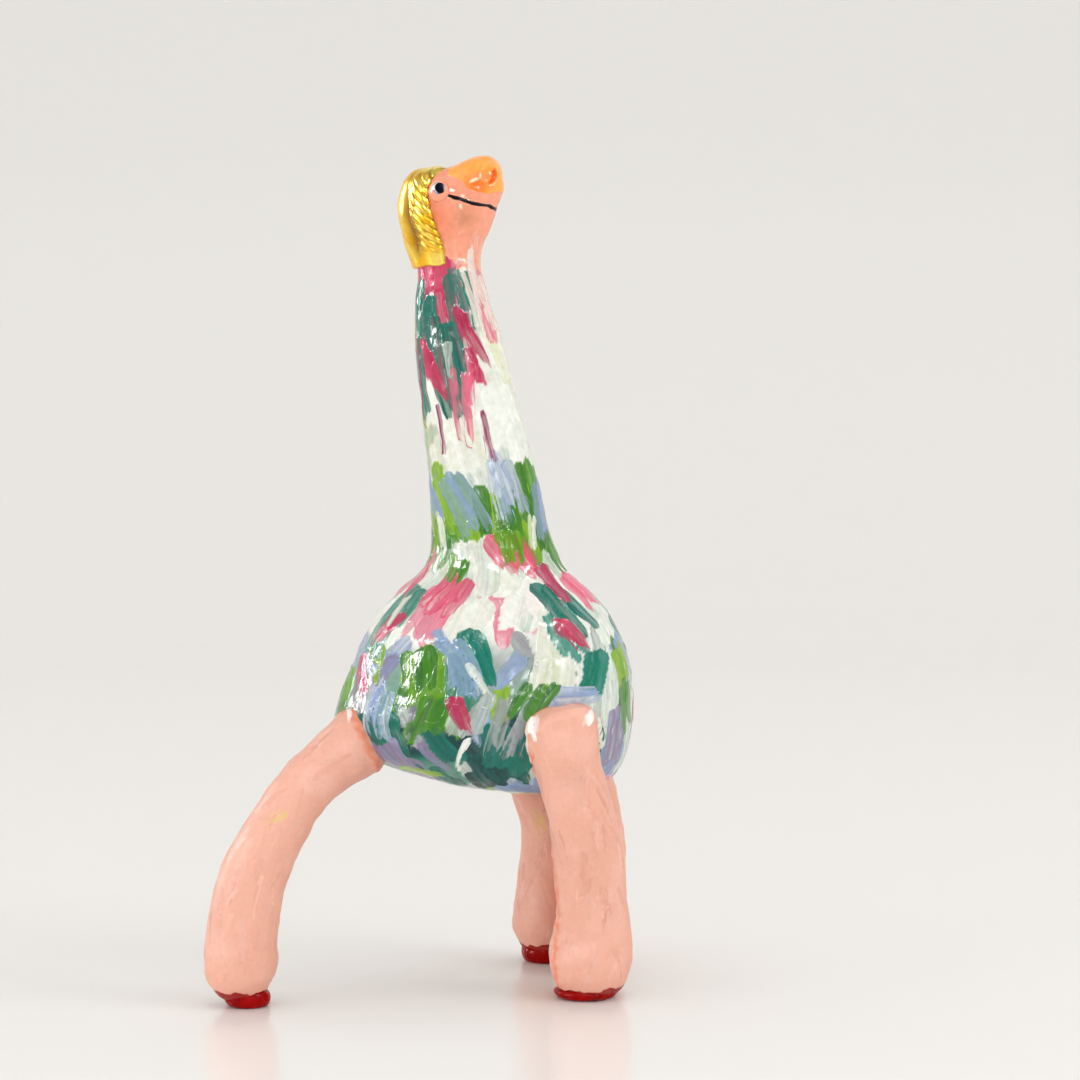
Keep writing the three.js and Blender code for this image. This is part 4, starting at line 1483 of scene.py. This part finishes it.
# The legs, from the ground up: x, y, z and radius of their rings in millimetres.
LEG_STATIONS = {
    "hind_right": (
        (-44.2, -25, 2.5, 5.4),
        (-45.0, -25, 6.4, 8.5),
        (-45.5, -25, 10.8, 9.5),
        (-45.0, -25, 19.0, 9.2),
        (-42.7, -24, 31.9, 8.8),
        (-38.2, -22, 42.3, 8.1),
        (-31.4, -19, 53.0, 7.5),
        (-25.5, -16, 59.2, 7.7),
        (-15.8, -12, 66.7, 8.8),
        (-6.5, -6.5, 73.0, 7.4),
    ),
    "front_right": (
        (44.0, -14, 1.2, 7.0),
        (44.6, -14, 5.5, 9.9),
        (45.2, -14, 10.4, 10.8),
        (45.6, -14, 17.5, 10.3),
        (45.5, -15.5, 26.0, 9.0),
        (45.0, -18.5, 38.0, 9.0),
        (42.7, -22, 48.6, 8.6),
        (40.3, -25, 58.9, 8.3),
        (38.3, -27.6, 67.2, 8.8),
        (37.6, -28, 74.0, 8.9),
        (37.0, -27.6, 77.2, 6.6),
        (36.8, -27.4, 78.2, 2.5),
    ),
    "hind_left": (
        (33.4, 34.4, 3.0, 5.6),
        (33.2, 34.4, 8.5, 8.4),
        (33.3, 34.4, 14.5, 8.6),
        (34.2, 34.4, 24.0, 8.1),
        (35.0, 34.2, 34.0, 8.0),
        (33.4, 33.5, 43.0, 7.9),
        (29.8, 31.5, 53.5, 8.0),
        (24.0, 28.5, 64.5, 8.2),
        (20.2, 26.5, 70.6, 7.2),
        (19.0, 25.5, 72.5, 4.0),
    ),
    "front_left": (
        (46.2, 19.4, 2.5, 5.4),
        (46.3, 19.4, 7.4, 8.1),
        (46.4, 19.4, 12.5, 8.7),
        (46.8, 19.8, 22.0, 8.4),
        (47.2, 20.4, 31.5, 8.1),
        (46.2, 21.0, 40.5, 8.0),
        (44.0, 21.4, 52.0, 7.9),
        (40.6, 20.4, 64.5, 8.0),
        (38.4, 18.6, 71.6, 7.0),
        (37.8, 18.0, 73.6, 4.0),
    ),
}

# The soles: x and y of the middle, radius and thickness in millimetres.
SOLES = {
    "hind_right": (-43.7, -25.0, 6.1, 4.2),
    "front_right": (43.9, -14.0, 8.3, 3.0),
    "hind_left": (33.4, 34.4, 6.7, 5.0),
    "front_left": (46.2, 19.4, 6.6, 4.4),
}

# Smears on the legs: ochre from the brush, and white paste where a leg is pressed to the body.
LEG_DAUBS = {
    "hind_right": (
        Daub(Paint.OCHRE, Paint.SKIN, 1, 47, -12, 2, 2, length=6, breadth=0.9, slant=-28, dry=0.95),
        Daub(Paint.PASTE, Paint.WHITE, 2, 67.5, -60, 4, 3, 2, length=2.4, breadth=1.1, slant=60, dry=0.4),
    ),
    "front_right": (
        Daub(Paint.PASTE, Paint.WHITE, 2, 74, -64, 5, 5, 4, length=4.5, breadth=1.7, slant=8, dry=0.35),
        Daub(Paint.PASTE, Paint.WHITE, 2, 70, -80, 4, 3, 6, length=5, breadth=1.3, dry=0.4),
        Daub(Paint.PASTE, Paint.WHITE, 2, 75, 60, 5, 4, 3, length=3, breadth=1.4, slant=-20, dry=0.4),
    ),
    "hind_left": (
        Daub(Paint.OCHRE, Paint.SKIN, 1, 40, -16, 3, 4, 3, length=6, breadth=1.2, slant=10, dry=0.85),
    ),
    "front_left": (),
}

# Seeds of the first leg and the first sole, and the step from one leg's seed to the next.
LEG_SEED, LEG_SEED_STEP, SOLE_SEED = 51, 7, 91


def design_shift() -> Array:
    """How far the shared frame lies from the sizes above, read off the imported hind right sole."""
    low, high = (np.array(corner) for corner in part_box("sole_hind_right"))
    middle = (low + high) / 2 / MM
    x, y = SOLES["hind_right"][:2]
    return np.array([middle[0] - x, middle[1] - y, 0.0])


SHIFT = design_shift()


@dataclass(frozen=True)
class SoftBox:
    """A studio light: where it is, what it aims at, its width and height in metres, its power in watts.

    A light for gloss is only seen mirrored in the figure, and one for fill only brightens it.
    """

    name: str
    place: tuple[float, float, float]
    aim: tuple[float, float, float]
    width: float
    height: float
    watts: float
    gloss: bool = False

    def build(self) -> None:
        """Hangs the light."""
        lamp = bpy.data.lights.new(self.name, "AREA")
        lamp.shape = "RECTANGLE"
        lamp.size = self.width
        lamp.size_y = self.height
        lamp.energy = self.watts
        light = bpy.data.objects.new(self.name, lamp)
        light.location = self.place
        light.visible_glossy = self.gloss
        light.visible_diffuse = not self.gloss
        light.rotation_mode = "QUATERNION"
        light.rotation_quaternion = (Vector(self.aim) - Vector(self.place)).to_track_quat("-Z", "Y")
        bpy.context.scene.collection.objects.link(light)


@dataclass
class Studio:
    """The pale sweep that the figure stands on, the lights and the camera."""

    sweep_near: float = 1.2
    sweep_far: float = 0.7
    sweep_radius: float = 1.0
    sweep_height: float = 1.8
    sweep_half: float = 2.2
    paper_near: str = "#ecebe9"
    paper_far: str = "#ebeae8"
    surround: tuple[float, float] = (0.64, 1.1)
    mirrored_share: float = 0.22
    camera_place: tuple[float, float, float] = (31.97, -1000.0, 206.4)
    camera_pitch: float = 5.0
    lens: float = 127.15

    def build(self) -> None:
        """Puts up the sweep, the lights and the camera."""
        self.sweep()
        self.lights()
        self.camera()

    def sweep(self) -> None:
        """A paper sweep: flat floor, a quarter circle, then a wall, carried straight across."""
        arc = np.linspace(0.0, math.pi / 2, 40)
        depth = np.concatenate([[-self.sweep_near], self.sweep_far + self.sweep_radius * np.sin(arc)])
        height = np.concatenate([[0.0], self.sweep_radius * (1.0 - np.cos(arc))])
        depth = np.append(depth, depth[-1])
        height = np.append(height, self.sweep_height)
        across = np.array([-self.sweep_half, self.sweep_half])
        grid = np.stack(np.broadcast_arrays(across[None, :], depth[:, None], height[:, None]), -1)
        rows = len(depth)
        index = np.arange(rows * 2).reshape(rows, 2)
        faces = np.stack([index[:-1, 0], index[:-1, 1], index[1:, 1], index[1:, 0]], -1)
        mesh = bpy.data.meshes.new("paper_sweep")
        mesh.from_pydata(grid.reshape(-1, 3), [], faces.tolist())
        mesh.shade_smooth()
        floor = bpy.data.objects.new("paper_sweep", mesh)
        bpy.context.scene.collection.objects.link(floor)
        material, tree, shader = new_material("pale_satin_paper")
        place = add(tree, "ShaderNodeTexCoord", {}).outputs["Object"]
        away = add(tree, "ShaderNodeSeparateXYZ", {0: place}).outputs["Y"]
        fade = add(tree, "ShaderNodeMapRange", {0: away, 1: -0.4, 2: 1.0}).outputs[0]
        papers = {0: fade, 6: (*linear(self.paper_near), 1.0), 7: (*linear(self.paper_far), 1.0)}
        colour = add(tree, "ShaderNodeMix", papers, data_type="RGBA").outputs[2]
        tree.links.new(colour, shader.inputs["Base Color"])
        shader.inputs["Roughness"].default_value = 0.2
        shader.inputs["Specular IOR Level"].default_value = 0.35
        mesh.materials.append(material)

    def lights(self) -> None:
        """Soft boxes round the figure, and a pale surround that is dimmer in front and in mirror images."""
        world = bpy.data.worlds.new("studio")
        world.use_nodes = True
        tree = world.node_tree
        surround = tree.nodes["Background"]
        surround.inputs["Color"].default_value = (*linear("#fdfbf8"), 1.0)
        around = add(tree, "ShaderNodeTexCoord", {}).outputs["Generated"]
        heading = add(tree, "ShaderNodeSeparateXYZ", {0: around})
        dim = {0: heading.outputs["Y"], 1: -0.95, 2: -0.2, 3: self.surround[0], 4: self.surround[1]}
        dim = add(tree, "ShaderNodeMapRange", dim).outputs[0]
        mirror = add(tree, "ShaderNodeLightPath", {}).outputs["Is Glossy Ray"]
        mirror = add(tree, "ShaderNodeMapRange", {0: mirror, 3: 1.0, 4: self.mirrored_share}).outputs[0]
        strength = add(tree, "ShaderNodeMath", {0: dim, 1: mirror}, operation="MULTIPLY").outputs[0]
        tree.links.new(strength, surround.inputs["Strength"])
        bpy.context.scene.world = world
        aim = (0.0, 0.0, 0.12)
        SoftBox("left_strip", (-1.0, -0.55, 0.55), aim, 0.06, 0.4, 18.0, gloss=True).build()
        SoftBox("right_box", (0.85, -0.55, 0.95), aim, 0.12, 0.12, 11.0, gloss=True).build()
        SoftBox("front_box", (-0.1, -1.3, 1.0), aim, 0.3, 0.3, 10.0, gloss=True).build()
        SoftBox("low_box", (0.5, -1.25, 0.32), aim, 0.2, 0.2, 2.5, gloss=True).build()
        SoftBox("back_strip", (-1.0, 0.5, 0.4), aim, 0.06, 0.5, 8.0, gloss=True).build()
        SoftBox("top_box", (0.0, -0.2, 1.5), aim, 0.9, 0.9, 1.6, gloss=True).build()
        SoftBox("wide_fill", (-0.3, -1.7, 0.34), aim, 1.4, 0.6, 6.9).build()
        SoftBox("left_fill", (-1.3, -0.7, 0.22), aim, 0.8, 0.4, 4.6).build()
        SoftBox("right_fill", (1.3, -0.5, 0.6), aim, 0.8, 0.8, 6.0).build()
        bpy.context.scene.view_settings.view_transform = "Standard"

    def camera(self) -> None:
        """The photograph's view: level with the head, tipped down a little."""
        lens = bpy.data.cameras.new("camera")
        lens.sensor_width = 36.0
        lens.lens = self.lens
        camera = bpy.data.objects.new("camera", lens)
        camera.location = (np.array(self.camera_place) + SHIFT) * MM
        camera.rotation_euler = (math.radians(90.0 - self.camera_pitch), 0.0, 0.0)
        bpy.context.scene.collection.objects.link(camera)
        bpy.context.scene.camera = camera


def main() -> None:
    """Builds the studio and every piece of the figure, in order."""
    logging.basicConfig(level=logging.INFO, format="%(message)s")
    Studio().build()
    lump = Lump()
    lump.build()
    Hair(lump).build()
    for name, side in (("right", -1), ("left", 1)):
        Eye(lump, name, side).build(Eye.FINISH.material())
    skin, red = Leg.FINISH.material(), Sole.FINISH.material()
    for number, (name, stations) in enumerate(LEG_STATIONS.items()):
        Leg(name, lump, stations, LEG_SEED + LEG_SEED_STEP * number, LEG_DAUBS[name]).build(skin)
        Sole(name, *SOLES[name], seed=SOLE_SEED + number).build(red)


if __name__ == "__main__":
    main()
